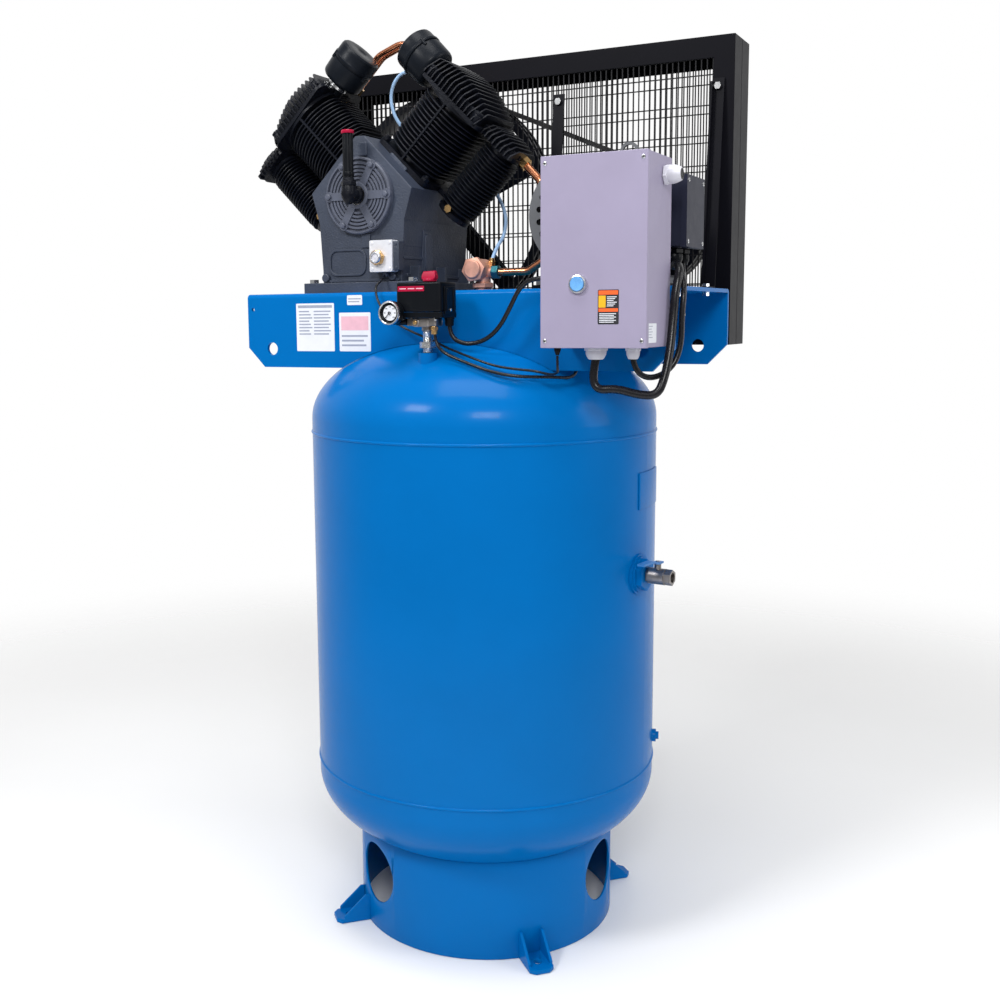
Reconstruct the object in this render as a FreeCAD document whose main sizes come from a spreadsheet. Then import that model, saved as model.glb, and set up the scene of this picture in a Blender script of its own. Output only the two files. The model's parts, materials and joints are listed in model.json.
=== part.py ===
import FreeCAD, Part
import math
import os
import re
import Sketcher
from FreeCAD import Placement, Rotation, Vector

# Vertical tank compressor. Millimetres, +Z up, +X along the deck towards the motor, -Y is the front.
# The origin is on the floor, on the axis of the tank.

SIZES = {
    # air receiver
    "tank_radius": 381, "tank_wall": 5, "shell_low": 366, "shell_high": 1110,
    "head_depth": 190.5, "head_straight": 25, "bead_radius": 3.5,
    "skirt_radius": 289, "skirt_wall": 5, "skirt_top": 230,
    "access_radius": 66, "access_height": 130,
    "foot_reach": 362, "foot_half": 27, "foot_plate": 10, "gusset_high": 60, "gusset_wall": 6,
    "bolt_circle": 328, "anchor_hole": 9,
    # bungs
    "outlet_height": 815, "valve_reach": 424, "bung_radius": 27, "switch_bung_x": 8, "switch_bung_y": -270,
    # deck
    "deck_half_long": 496, "deck_half_wide": 194, "deck_top": 1407, "deck_low": 1245,
    "deck_plate": 8, "deck_chamfer": 44, "lift_hole": 14, "lift_inset": 65, "lift_height": 1286,
    "head_gap": 1,
    # pump
    "crank_x": -229, "crank_z": 1615, "bank_angle": 45, "case_front": -134, "case_rear": 165,
    "case_half": 100, "case_base": 1430, "base_front": -150, "base_rear": 178, "base_half": 143,
    "chamber_radius": 84, "deck_reach": 98, "deck_half": 82,
    "shaft_radius": 20, "shaft_gap": 0.06,
    "cover_radius": 82, "cover_thick": 14, "cover_bolt_circle": 72,
    "housing_radius": 58, "housing_rear": 194,
    "bore_radius": 52, "liner_radius": 62, "cylinder_half": 80, "cylinder_deep": 88,
    "flange_thick": 12, "head_low": 268, "head_core": 300,
    "fin_thick": 3.2, "fin_round": 90, "fin_pitch": 9.6, "piston_gap": 0.4,
    "barrel_offset": 138, "barrel_radius": 46, "barrel_core": 30, "barrel_bore": 24,
    "barrel_low": 84, "barrel_pitch": 8.6, "wing_edge": 188, "wing_core": 285, "wing_high": 303,
    "filter_radius": 50, "filter_start": 104, "filter_end": 188, "filter_reach": 280,
    "filter_y": -10, "neck_radius": 21,
    # drive
    "wheel_radius": 276, "rim_inner": 258, "wheel_front": 240, "wheel_rear": 296, "hub_radius": 42,
    "spoke_count": 5, "spoke_half": 28, "motor_x": 299, "motor_z": 1549, "sheave_radius": 130,
    "belt_width": 13, "belt_deep": 10.5, "groove_width": 15, "groove_deep": 12,
    "belt_front": 256, "belt_rear": 280,
    "motor_radius": 114, "motor_wall": 12, "motor_front": -110, "motor_rear": 128,
    "cowl_front": -176, "cowl_radius": 110, "rotor_radius": 72, "stator_gap": 0.6,
    "motor_shaft": 14, "foot_long": 95, "foot_reach_x": 108, "slide_high": 9, "conduit_x": 446,
    # guard
    "guard_left": 512, "guard_right": 497, "guard_front": 200, "guard_seam": 259, "guard_rear": 320,
    "guard_low": 1287, "guard_high": 1940, "guard_sheet": 3, "guard_border": 46,
    "wire": 2.4, "wire_pitch": 12.7, "wire_row": 63,
    # control box
    "box_left": 284, "box_right": 487, "box_front": -337, "box_back": -197,
    "box_low": 1294, "box_high": 1639, "box_sheet": 2, "lid_deep": 14,
    "button_x": 358, "button_z": 1409, "button_radius": 13, "bezel_radius": 17,
    # pressure switch
    "switch_left": -45, "switch_right": 60, "switch_front": -305, "switch_back": -235,
    "switch_low": 1351, "switch_lid": 1362, "switch_high": 1421,
    "gauge_x": -46, "gauge_z": 1361, "gauge_radius": 24, "gauge_front": -334,
}

doc = FreeCAD.newDocument("vertical_tank_compressor")
sheet = doc.addObject("Spreadsheet::Sheet", "Sizes")
for row, (alias, value) in enumerate(SIZES.items(), start=1):
    sheet.set(f"A{row}", alias)
    sheet.set(f"B{row}", str(value))
    sheet.setAlias(f"B{row}", alias)
doc.recompute()

NODES = {}
ALONG = {
    "X": Rotation(Vector(0, 1, 0), 90), "-X": Rotation(Vector(0, 1, 0), -90),
    "Y": Rotation(Vector(1, 0, 0), -90), "-Y": Rotation(Vector(1, 0, 0), 90),
    "Z": Rotation(), "-Z": Rotation(Vector(1, 0, 0), 180),
}


def size(alias):
    """A driving dimension, read back from the sheet."""
    return float(getattr(sheet, alias))


def cells(text):
    """Point every alias in an expression at the sheet."""
    def point(found):
        word = found.group(0)
        return "Sizes." + word if word in SIZES else word
    return re.sub(r"[a-z]+(?:_[a-z]+)*", point, str(text))


def bind(item, **sizes):
    for name, text in sizes.items():
        item.setExpression(name, cells(text))
    return item


def place(item, x=0, y=0, z=0, turn=None):
    item.Placement = Placement(Vector(), turn or Rotation())
    for axis, text in zip("xyz", (x, y, z)):
        item.setExpression("Placement.Base." + axis, cells(text))
    return item


def block(x, y, z):
    """A box between two ends on each axis."""
    item = doc.addObject("Part::Box", "block")
    bind(item, Length=f"({x[1]})-({x[0]})", Width=f"({y[1]})-({y[0]})", Height=f"({z[1]})-({z[0]})")
    return place(item, x[0], y[0], z[0])


def rod(radius, length, x=0, y=0, z=0, way="Z", turn=None):
    item = doc.addObject("Part::Cylinder", "rod")
    bind(item, Radius=radius, Height=length)
    return place(item, x, y, z, turn or ALONG[way])


def nut(radius, length, x=0, y=0, z=0, way="Z", turn=None):
    """A hexagonal bar, its radius to the corners."""
    item = doc.addObject("Part::Prism", "nut")
    item.Polygon = 6
    bind(item, Circumradius=radius, Height=length)
    return place(item, x, y, z, turn or ALONG[way])


def cone(radius, tip, length, x=0, y=0, z=0, way="Z"):
    item = doc.addObject("Part::Cone", "cone")
    bind(item, Radius1=radius, Radius2=tip, Height=length)
    return place(item, x, y, z, ALONG[way])


def dome(radius, depth, z, upper):
    """Half of an oblate ellipsoid on the tank axis."""
    item = doc.addObject("Part::Ellipsoid", "dome")
    bind(item, Radius1=depth, Radius2=radius, Radius3=radius)
    item.Angle1 = 0 if upper else -90
    item.Angle2 = 90 if upper else 0
    return place(item, z=z)


def fuse(*items):
    item = doc.addObject("Part::MultiFuse", "joined")
    item.Shapes = list(items)
    return item


def cut(base, *tools):
    item = doc.addObject("Part::Cut", "cut")
    item.Base = base
    item.Tool = tools[0] if len(tools) == 1 else fuse(*tools)
    return item


def group(*items):
    """Separate solids in one node."""
    item = doc.addObject("Part::Compound", "group")
    item.Links = list(items)
    return item


def tube(outer, inner, length, x=0, y=0, z=0, way="Z"):
    return cut(rod(outer, length, x, y, z, way), rod(inner, length, x, y, z, way))


def profile(role, points, depth, x=0, y=0, z=0):
    """A pad of a closed outline; every corner is tied to the sheet by its two distances."""
    body = doc.addObject("PartDesign::Body", "body")
    plane = next(item for item in body.Origin.OriginFeatures if item.Role == role)
    sketch = body.newObject("Sketcher::SketchObject", "outline")
    sketch.AttachmentSupport = [(plane, "")]
    sketch.MapMode = "FlatFace"
    count = len(points)
    for index in range(count):
        start = Vector(10 * index + 1, index * index + 1, 0)
        end = Vector(10 * index + 6, index * index + 2, 0)
        sketch.addGeometry(Part.LineSegment(start, end), False)
    for index in range(count):
        sketch.addConstraint(Sketcher.Constraint("Coincident", index, 2, (index + 1) % count, 1))
    for index, corner in enumerate(points):
        for kind, text in zip(("DistanceX", "DistanceY"), corner):
            number = sketch.addConstraint(Sketcher.Constraint(kind, -1, 1, index, 1, 1.0))
            sketch.setExpression(f"Constraints[{number}]", cells(text))
    pad = body.newObject("PartDesign::Pad", "pad")
    pad.Profile = sketch
    bind(pad, Length=depth)
    return place(body, x, y, z)


def bent_tube(points, radius, bend=None):
    """A round bar along straight runs joined by tangent arcs; returns the solid and its arc radii."""
    path, radii = bent_path([Vector(*point) for point in points], bend)
    start = Vector(*points[0])
    circle = Part.Wire(Part.makeCircle(radius, start, path.Edges[0].tangentAt(path.Edges[0].FirstParameter)))
    solid = path.makePipeShell([circle], True, False)
    return solid, radii, path.Length


def bent_path(corners, bend):
    edges = []
    radii = []
    here = corners[0]
    for before, corner, after in zip(corners, corners[1:], corners[2:]):
        inward = (before - corner).normalize()
        outward = (after - corner).normalize()
        half = (math.pi - inward.getAngle(outward)) / 2
        shorter = min((before - corner).Length, (after - corner).Length)
        radius = bend if bend else 0.45 * shorter / math.tan(half)
        reach = radius * math.tan(half)
        first = corner + inward * reach
        last = corner + outward * reach
        centre = corner + (inward + outward).normalize() * (radius / math.cos(half))
        middle = centre + (corner - centre).normalize() * radius
        edges.append(Part.LineSegment(here, first).toShape())
        edges.append(Part.Arc(first, middle, last).toShape())
        radii.append(radius)
        here = last
    edges.append(Part.LineSegment(here, corners[-1]).toShape())
    return Part.Wire(edges), radii


def feature(shape):
    item = doc.addObject("Part::Feature", "shape")
    item.Shape = shape
    return item


def node(name, item):
    item.Label = name
    NODES[name] = item
    return item


def circle_points(radius, count, start=0.0):
    """Expressions of evenly spaced points on a circle."""
    for step in range(count):
        angle = start + 360.0 * step / count
        yield f"{radius}*cos({angle})", f"{radius}*sin({angle})"


def radial(radius, length, start, angle, z, hexagon=False):
    """A bar that stands out from the tank's axis at an angle."""
    turn = Rotation(Vector(0, 0, 1), angle).multiply(ALONG["X"])
    make = nut if hexagon else rod
    return make(radius, length, f"({start})*cos({angle})", f"({start})*sin({angle})", z, turn=turn)


# ---------------------------------------------------------------- air receiver
OUTLET_ANGLE = -6
PLUG_ANGLE = 16
PLUG_HEIGHT = 416


def shell():
    inner = "tank_radius-tank_wall"
    wall = tube("tank_radius", inner, "shell_high-shell_low", z="shell_low")
    beads = []
    for height in ("shell_low+4", "shell_high-4"):
        bead = doc.addObject("Part::Torus", "bead")
        bind(bead, Radius1="tank_radius-1", Radius2="bead_radius")
        beads.append(place(bead, z=height))
    clear = rod(inner, "shell_high-shell_low", z="shell_low")
    outlet = radial("bung_radius", 40, "tank_radius-20", OUTLET_ANGLE, "outlet_height")
    plug = radial(14, 40, "tank_radius-20", PLUG_ANGLE, PLUG_HEIGHT)
    return node("tank_shell", cut(fuse(wall, *beads), clear, outlet, plug))


def tank_head(name, upper):
    straight = "shell_high" if upper else "shell_low-head_straight"
    edge = "shell_high+head_straight" if upper else "shell_low-head_straight"
    rim = rod("tank_radius", "head_straight", z=straight)
    outside = fuse(rim, dome("tank_radius", "head_depth", edge, upper))
    bore = rod("tank_radius-tank_wall", "head_straight", z=straight)
    inside = dome("tank_radius-tank_wall", "head_depth-tank_wall", edge, upper)
    holes = [bore, inside]
    if upper:
        holes.append(rod("bung_radius", 80, z="shell_high+head_straight+head_depth-40"))
        holes.append(rod(20, 80, "switch_bung_x", "switch_bung_y", 1230))
    else:
        holes.append(rod(20, 40, z="shell_low-head_straight-head_depth-20"))
    return node(name, cut(outside, *holes))


def skirt():
    ring = tube("skirt_radius", "skirt_radius-skirt_wall", "skirt_top")
    head = dome("tank_radius", "head_depth", "shell_low-head_straight", False)
    holes = [radial("access_radius", 80, "skirt_radius-40", angle, "access_height")
             for angle in (-122, -2, 118)]
    return node("skirt", cut(ring, head, *holes))


def feet():
    made = []
    for angle in (-135, -45, 45, 135):
        corners = [("skirt_radius-3", "-foot_half"), ("foot_reach-10", "-foot_half"),
                   ("foot_reach", "-foot_half+12"), ("foot_reach", "foot_half-12"),
                   ("foot_reach-10", "foot_half"), ("skirt_radius-3", "foot_half")]
        plate = profile("XY_Plane", corners, "foot_plate")
        side = [("skirt_radius-3", "foot_plate"), ("foot_reach-16", "foot_plate"),
                ("foot_reach-16", "foot_plate+6"), ("skirt_radius+8", "gusset_high"),
                ("skirt_radius-3", "gusset_high")]
        walls = [profile("XZ_Plane", side, "gusset_wall", y=y)
                 for y in ("foot_half", "-foot_half+gusset_wall")]
        hole = rod("anchor_hole", 30, "bolt_circle", 0, -5)
        ring = rod("skirt_radius", 80)
        foot = cut(fuse(plate, *walls), hole, ring)
        place(foot, turn=Rotation(Vector(0, 0, 1), angle))
        made.append(foot)
    return node("anchor_feet", group(*made))


def bungs():
    top = tube("bung_radius", 16, 30, z="shell_high+head_straight+head_depth-14")
    switch = tube(20, 11, 34, "switch_bung_x", "switch_bung_y", 1247)
    height = "outlet_height"
    flare = fuse(radial(43, 9, "tank_radius-5", OUTLET_ANGLE, height),
                 radial(38, 13, "tank_radius-5", OUTLET_ANGLE, height))
    collar = cut(flare, rod("tank_radius", 100, z="outlet_height-50"))
    bush = fuse(radial("bung_radius", 26, "tank_radius-8", OUTLET_ANGLE, height),
                radial(34, 12, "tank_radius+8", OUTLET_ANGLE, height, True))
    outlet = cut(fuse(bush, collar), radial(10.5, 60, "tank_radius-20", OUTLET_ANGLE, height))
    plug = fuse(radial(14, 14, "tank_radius-6", PLUG_ANGLE, PLUG_HEIGHT),
                radial(9, 6, "tank_radius+8", PLUG_ANGLE, PLUG_HEIGHT, True))
    drain = fuse(rod(20, 26, z="shell_low-head_straight-head_depth-18"),
                 nut(12, 8, z="shell_low-head_straight-head_depth-26"))
    return node("tank_bungs", group(top, switch, outlet, plug, drain))


def data_plate():
    """A curved pad that stands off the shell and carries the rating plate."""
    ring = tube("tank_radius+3", "tank_radius", 77, z=951)
    sector = block(("tank_radius-60", "tank_radius+20"), (-66, 66), (945, 1035))
    place(sector, "(tank_radius-60)*cos(3)+66*sin(3)", "(tank_radius-60)*sin(3)-66*cos(3)", 945,
          Rotation(Vector(0, 0, 1), 3))
    item = doc.addObject("Part::Common", "pad")
    item.Base = ring
    item.Tool = sector
    return node("data_plate", item)


# ---------------------------------------------------------------- deck
def deck():
    long = ("-deck_half_long", "deck_half_long")
    outside = block(long, ("-deck_half_wide", "deck_half_wide"), ("deck_low", "deck_top"))
    doc.recompute()
    rounded = doc.addObject("Part::Fillet", "bends")
    rounded.Base = outside
    top = size("deck_top")
    picked = []
    for number, edge in enumerate(outside.Shape.Edges, start=1):
        centre = edge.CenterOfMass
        if abs(centre.z - top) < 0.1 and abs(centre.x) < 0.1:
            picked.append((number, 10.0, 10.0))
    rounded.Edges = picked
    inside = block(("-deck_half_long-5", "deck_half_long+5"),
                   ("-deck_half_wide+deck_plate", "deck_half_wide-deck_plate"),
                   ("deck_low-5", "deck_top-deck_plate"))
    tools = [inside]
    for side in (-1, 1):
        corner = [(f"{side}*(deck_half_long-deck_chamfer)", "deck_low-1"),
                  (f"{side}*(deck_half_long+2)", "deck_low-1"),
                  (f"{side}*(deck_half_long+2)", "deck_low+deck_chamfer+1")]
        tools.append(profile("XZ_Plane", corner, "2*deck_half_wide+20", y="deck_half_wide+10"))
        tools.append(rod("lift_hole", "2*deck_half_wide+20", f"{side}*(deck_half_long-lift_inset)",
                         "-deck_half_wide-10", "lift_height", "Y"))
    for x, z in (("14-deck_half_long", "deck_top-34"), ("deck_half_long-96", "deck_top-53")):
        tools.append(rod(4, "2*deck_half_wide+20", x, "-deck_half_wide-10", z, "Y"))
    clear = doc.addObject("Part::Ellipsoid", "clear")
    bind(clear, Radius1="head_depth+head_gap", Radius2="tank_radius+head_gap", Radius3="tank_radius+head_gap")
    place(clear, z="shell_high+head_straight")
    tools.append(clear)
    tools.append(rod(34, 40, z="deck_top-20"))
    return node("deck_platform", cut(rounded, *tools))


# ---------------------------------------------------------------- outlet valve
def outlet_valve():
    """Ball valve on a nipple, shut at rest with its lever across the pipe."""
    height = "outlet_height"
    x, y = f"valve_reach*cos({OUTLET_ANGLE})", f"valve_reach*sin({OUTLET_ANGLE})"

    def along(radius, length, start, hexagon=False):
        return radial(radius, length, start, OUTLET_ANGLE, height, hexagon)
    nipple = cut(along(10.5, 25, "tank_radius+2"), along(8, 25, "tank_radius+2"))
    casing = fuse(along(17, 34, "valve_reach-16"), along(17, 11, "valve_reach-21", True),
                  along(17, 15, "valve_reach+18", True), rod(7, 26, x, y, height))
    seat = doc.addObject("Part::Sphere", "seat")
    bind(seat, Radius=13.1)
    place(seat, x, y, height)
    ways = fuse(along(8, 80, "valve_reach-32"), along(10.5, 5, "valve_reach-21"),
                along(10.5, 16, "valve_reach+18"))
    node("ball_valve_body", group(cut(casing, seat, ways, rod(4.06, 30, x, y, height)), nipple))
    ball = doc.addObject("Part::Sphere", "ball")
    bind(ball, Radius=13)
    place(ball, x, y, height)
    stem = rod(4, 33, x, y, height)
    port = radial(6, 60, "tank_radius", OUTLET_ANGLE + 90, height)
    place(port, f"{x}-30*cos({OUTLET_ANGLE + 90})", f"{y}-30*sin({OUTLET_ANGLE + 90})", height,
          Rotation(Vector(0, 0, 1), OUTLET_ANGLE + 90).multiply(ALONG["X"]))
    node("valve_ball", cut(fuse(ball, stem), port))
    side = [(-11, 27), (11, 27), (34, 34), (78, 34), (78, 38), (33, 38), (10, 31), (-11, 31)]
    lever = cut(profile("XZ_Plane", side, 16, y=8), rod(4, 40, z=10))
    place(lever, x, y, height, Rotation(Vector(0, 0, 1), OUTLET_ANGLE - 92))
    node("valve_lever", lever)


# ---------------------------------------------------------------- pump
COPPER_PORTS = (54, 76)


def tilt(item, side):
    """Stand a bank's piece, built upright on the crank axis, over to the left (-1) or right (1)."""
    if item.TypeId in ("Part::Cylinder", "Part::Prism"):
        item = group(item)
    item.Placement = Placement(Vector(), Rotation(Vector(0, side, 0), 45))
    item.setExpression("Placement.Base.x", cells("crank_x"))
    item.setExpression("Placement.Base.z", cells("crank_z"))
    item.setExpression("Placement.Rotation.Angle", cells("bank_angle"))
    return item


def across(side, low, high):
    """A span on the bank's cross axis, positive towards the middle of the pump."""
    return (low, high) if side < 0 else (f"-({high})", f"-({low})")


def crank_rod(radius, start, end, way="Y"):
    return rod(radius, f"({end})-({start})", "crank_x", start, "crank_z", way)


def crankcase():
    half = "case_half"
    reach = "0.70711*(deck_reach+deck_half)"
    short = "0.70711*(deck_reach-deck_half)"
    corners = [(f"crank_x-{half}", "case_base"), (f"crank_x+{half}", "case_base"),
               (f"crank_x+{half}+8", "case_base+130"), (f"crank_x+{reach}", f"crank_z+{short}"),
               (f"crank_x+{short}", f"crank_z+{reach}"), (f"crank_x-{short}", f"crank_z+{reach}"),
               (f"crank_x-{reach}", f"crank_z+{short}"), (f"crank_x-{half}-8", "case_base+130")]
    hull = profile("XZ_Plane", corners, "case_rear-case_front", y="case_rear")
    base = block(("crank_x-base_half", "crank_x+base_half"), ("base_front", "base_rear"),
                 ("deck_top", "case_base"))
    rib = block((f"crank_x-{half}-9", f"crank_x+{half}+9"), ("case_front", "case_rear"),
                ("case_base+154", "case_base+168"))
    boss = block(("crank_x+case_half-4", "crank_x+case_half+9"), (-48, -14),
                 ("case_base+22", "case_base+112"))
    webs = []
    for x in ("crank_x-case_half-24", "crank_x+case_half"):
        for y in (-100, 20, 130):
            webs.append(block((x, f"{x}+24"), (y, f"{y}+10"), ("case_base", "case_base+34")))
    chamber = crank_rod("chamber_radius", "case_front+12", "case_rear-12")
    sump = block(("crank_x-70", "crank_x+70"), ("case_front+14", "case_rear-14"), ("case_base", "crank_z-50"))
    window = crank_rod(66, "case_front-6", "case_front+14")
    rear = crank_rod(40, "case_rear-14", "case_rear+2")
    bores = [tilt(rod("bore_radius+1", "deck_reach+10"), side) for side in (-1, 1)]
    holes = []
    for x in ("crank_x-base_half+16", "crank_x+base_half-16"):
        for y in ("base_front+18", "base_rear-18"):
            holes.append(rod(7, 60, x, y, "deck_top-5"))
    solid = fuse(hull, base, rib, boss, *webs)
    node("crankcase", cut(solid, chamber, sump, window, rear, *bores, *holes))


def front_cover():
    face = "case_front-cover_thick"
    disc = crank_rod("cover_radius", face, "case_front")
    spigot = crank_rod(65, "case_front", "case_front+10")
    hub = crank_rod(24, f"{face}-8", face)
    rims = [cut(crank_rod(outer, f"{face}-3", face), crank_rod(inner, f"{face}-3", face))
            for outer, inner in ((82, 78), (62, 59), (46, 43))]
    spokes = []
    for step in range(6):
        spoke = block((22, 80), (-8, 8), (0, 4))
        turn = ALONG["-Y"].multiply(Rotation(Vector(0, 0, 1), 60 * step))
        corner = turn.multVec(Vector(22, -8, 0))
        spokes.append(place(spoke, f"crank_x+({corner.x})", face, f"crank_z+({corner.z})", turn))
    journal = crank_rod("shaft_radius+shaft_gap", "case_front-10", "case_front+10")
    bolts = [nut(7, 5, f"crank_x+{x}", "case_front-cover_thick-4", f"crank_z+{z}", "-Y")
             for x, z in circle_points("cover_bolt_circle", 6)]
    node("front_cover", group(cut(fuse(disc, spigot, hub, *rims, *spokes), journal), *bolts))


def rear_housing():
    flange = crank_rod("housing_radius+10", "case_rear", "case_rear+9")
    spigot = crank_rod(39.9, "case_rear-12", "case_rear")
    nose = crank_rod(40, "case_rear+9", "housing_rear")
    bore = crank_rod("shaft_radius+shaft_gap", "case_rear-20", "housing_rear+5")
    node("rear_bearing_housing", cut(fuse(flange, spigot, nose), bore))


def crankshaft():
    shaft = crank_rod("shaft_radius", "case_front-8", "wheel_rear+6")
    webs = [crank_rod(58, start, f"{start}+16") for start in (-60, -8, 44)]
    pins = [rod(17, 60, "crank_x+33", -52, "crank_z", "Y"), rod(17, 52, "crank_x-33", -2, "crank_z", "Y")]
    node("crankshaft", fuse(shaft, *webs, *pins))


def flywheel():
    front, rear = "wheel_front", "wheel_rear"
    rim = cut(crank_rod("wheel_radius", front, rear), crank_rod("rim_inner", front, rear))
    hub = crank_rod("hub_radius", front, rear)
    disc = crank_rod(70, "wheel_front+20", "wheel_front+34")
    spokes = []
    for step in range(int(size("spoke_count"))):
        spoke = block(("hub_radius-6", "rim_inner+4"), ("-spoke_half", "spoke_half"), (-5, 5))
        turn = ALONG["-Y"].multiply(Rotation(Vector(0, 0, 1), 72 * step + 24)).multiply(
            Rotation(Vector(1, 0, 0), 28))
        place(spoke, turn=turn)
        shift = (size("hub_radius") - 6)
        direction = turn.multVec(Vector(1, 0, 0)) * shift
        corner = turn.multVec(Vector(0, -size("spoke_half"), -5))
        middle = "0.5*(wheel_front+wheel_rear)"
        place(spoke, f"crank_x+({direction.x + corner.x})", f"{middle}+({direction.y + corner.y})",
              f"crank_z+({direction.z + corner.z})", turn)
        spokes.append(spoke)
    grooves = []
    for centre in ("belt_front", "belt_rear"):
        start, end = f"{centre}-groove_width/2", f"{centre}+groove_width/2"
        grooves.append(cut(crank_rod("wheel_radius+5", start, end),
                           crank_rod("wheel_radius-groove_deep", start, end)))
    bore = crank_rod("shaft_radius", "wheel_front-5", "wheel_rear+10")
    node("flywheel", cut(fuse(rim, hub, disc, *spokes), *grooves, bore))


def bank(side, word):
    """One bank: its finned cylinder, the smaller barrel beside it, and the head over both."""
    half, deep = "cylinder_half", "cylinder_deep"
    base = block(across(side, "-78", "78"), ("-84", "84"), ("deck_reach", "deck_reach+flange_thick"))
    core = rod("liner_radius", "head_low-deck_reach", z="deck_reach")
    fins = []
    for step in range(14):
        low = f"deck_reach+24+{step}*fin_pitch"
        edge = half if step > 2 else f"{half}-{9 - 3 * step}"
        fins.append(block(across(side, f"-({edge})", edge), (f"-{deep}", deep), (low, f"{low}+fin_thick")))
    top = block(across(side, f"-{half}", half), (f"-{deep}", deep), ("head_low-7", "head_low"))
    ribs = [block(("-2.5", "2.5"), (y, f"{y}+9"), ("deck_reach+flange_thick", "head_low"))
            for y in (f"-{deep}-1", f"{deep}-8")]
    studs = [rod(7, 16, x, y, "deck_reach+8") for x in ("-66", "66") for y in ("-72", "72")]
    bore = rod("bore_radius", 300, z="deck_reach-10")
    rounded = doc.addObject("Part::Common", "rounded")
    rounded.Base = fuse(top, *fins, *ribs)
    rounded.Tool = rod("fin_round", "head_low-deck_reach", z="deck_reach")
    tilt(node(f"cylinder_{word}", cut(fuse(base, core, rounded, *studs), bore)), side)

    middle = "barrel_offset" if side > 0 else "-barrel_offset"
    core = rod("barrel_core", "head_low-barrel_low", middle, 0, "barrel_low")
    foot = rod("barrel_core+10", 10, middle, 0, "barrel_low")
    discs = []
    for step in range(18):
        low = f"barrel_low+20+{step}*barrel_pitch"
        discs.append(rod("barrel_radius", "fin_thick", middle, 0, low))
    seat = rod("barrel_core+10", 8, middle, 0, "head_low-8")
    tie = block(across(side, "-105", "-79"), ("-16", "16"), ("deck_reach+1", "deck_reach+flange_thick"))
    hollow = rod("barrel_bore", 400, middle, 0, "barrel_low+12")
    tilt(node(f"barrel_{word}", cut(fuse(core, foot, seat, tie, *discs), hollow)), side)

    plate = fuse(block(across(side, "-92", "90"), ("-90", "90"), ("head_low", "head_low+9")),
                 block(across(side, "-wing_edge", "-92"), ("-60", "60"), ("head_low", "head_low+9")))
    body = block(across(side, "-86", "90"), ("-84", "84"), ("head_low", "head_core"))
    wing = block(across(side, "-wing_edge+6", "-80"), ("-56", "56"), ("head_low", "wing_core"))
    combs = []
    for step in range(15):
        left = f"-84+{step}*12"
        crown = 30 - 0.55 * abs(step - 8) ** 1.8
        combs.append(block(across(side, left, f"{left}+4"), ("-92", "92"),
                           ("head_low+9", f"head_core+({crown})")))
    for step in range(8):
        left = f"-wing_edge+6+{step}*12"
        combs.append(block(across(side, left, f"{left}+4"), ("-70", "70"), ("head_low+9", "wing_high-3")))
    pocket = rod("bore_radius-4", 18, 0, 0, "head_low-1")
    hollow = rod("barrel_bore", 10, middle, 0, "head_low-1")
    corners = [rod(8, 60, x, y, "head_low") for x in ("-74", "78") for y in ("-78", "78")]
    tilt(node(f"head_{word}", cut(fuse(plate, body, wing, *combs, *corners), pocket, hollow)), side)


def intake_filters():
    made = []
    for side in (-1, 1):
        way = "X" if side < 0 else "-X"
        sign = "" if side < 0 else "-"
        reach = "filter_reach"
        neck = rod("neck_radius", "filter_start-90", f"{sign}90", "filter_y", reach, way)
        lower = rod("filter_radius", 46, f"{sign}filter_start", "filter_y", reach, way)
        waist = rod("filter_radius-3", 8, f"{sign}(filter_start+46)", "filter_y", reach, way)
        lid = rod("filter_radius", "filter_end-filter_start-54", f"{sign}(filter_start+54)", "filter_y",
                  reach, way)
        knob = nut(9, 8, f"{sign}filter_end", "filter_y", reach, way)
        made.append(tilt(fuse(neck, lower, waist, lid, knob), side))
    node("intake_filters", group(*made))


def pistons():
    made = []
    for side in (-1, 1):
        crown = rod("bore_radius-piston_gap", 62, 0, 0, "deck_reach+42")
        hollow = rod("bore_radius-8", 50, 0, 0, "deck_reach+36")
        wrist = rod(10, "2*bore_radius-6", 0, "-bore_radius+3", "deck_reach+64", "Y")
        ring = cut(rod("bore_radius-piston_gap+1", 3, 0, 0, "deck_reach+90"),
                   rod("bore_radius-4", 3, 0, 0, "deck_reach+90"))
        made.append(tilt(cut(fuse(crown, wrist), cut(hollow, wrist), ring), side))
    node("pistons", group(*made))


def pump_fittings():
    """Compression fittings on the heads and plugs on the barrels."""
    made = []
    for side in (-1, 1):
        sign = 1 if side < 0 else -1
        way = "X" if side < 0 else "-X"
        for y in COPPER_PORTS:
            made.append(tilt(nut(10, 15, f"{sign}*90", y, 279, way), side))
        middle = "-barrel_offset" if side < 0 else "barrel_offset"
        made.append(tilt(fuse(nut(9, 8, middle, "-barrel_core-8", 98, "-Y"),
                              rod(6, 14, middle, "-barrel_core+1", 98, "-Y")),
                         side))
    made.append(tilt(nut(14, 16, "wing_edge-6", 0, 277, "X"), 1))
    made.append(tilt(nut(7, 14, "-90", 48, 245, "-X"), 1))
    node("pump_fittings", group(*made))


def breather():
    """Crankcase breather: an elbow out of the front cover, a riser and its cap."""
    face = "case_front-cover_thick-8"
    arm = crank_rod(15, f"{face}-26", face)
    collar = nut(19, 10, "crank_x", face, "crank_z", "-Y")
    elbow = nut(18, 34, "crank_x", f"{face}-26", "crank_z-15")
    riser = rod(11.5, 108, "crank_x", f"{face}-26", "crank_z+19")
    cap = fuse(rod(14, 6, "crank_x", f"{face}-26", "crank_z+127"),
               rod(11, 2, "crank_x", f"{face}-26", "crank_z+133"))
    node("breather", group(fuse(arm, collar, elbow, riser), cap))


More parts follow.
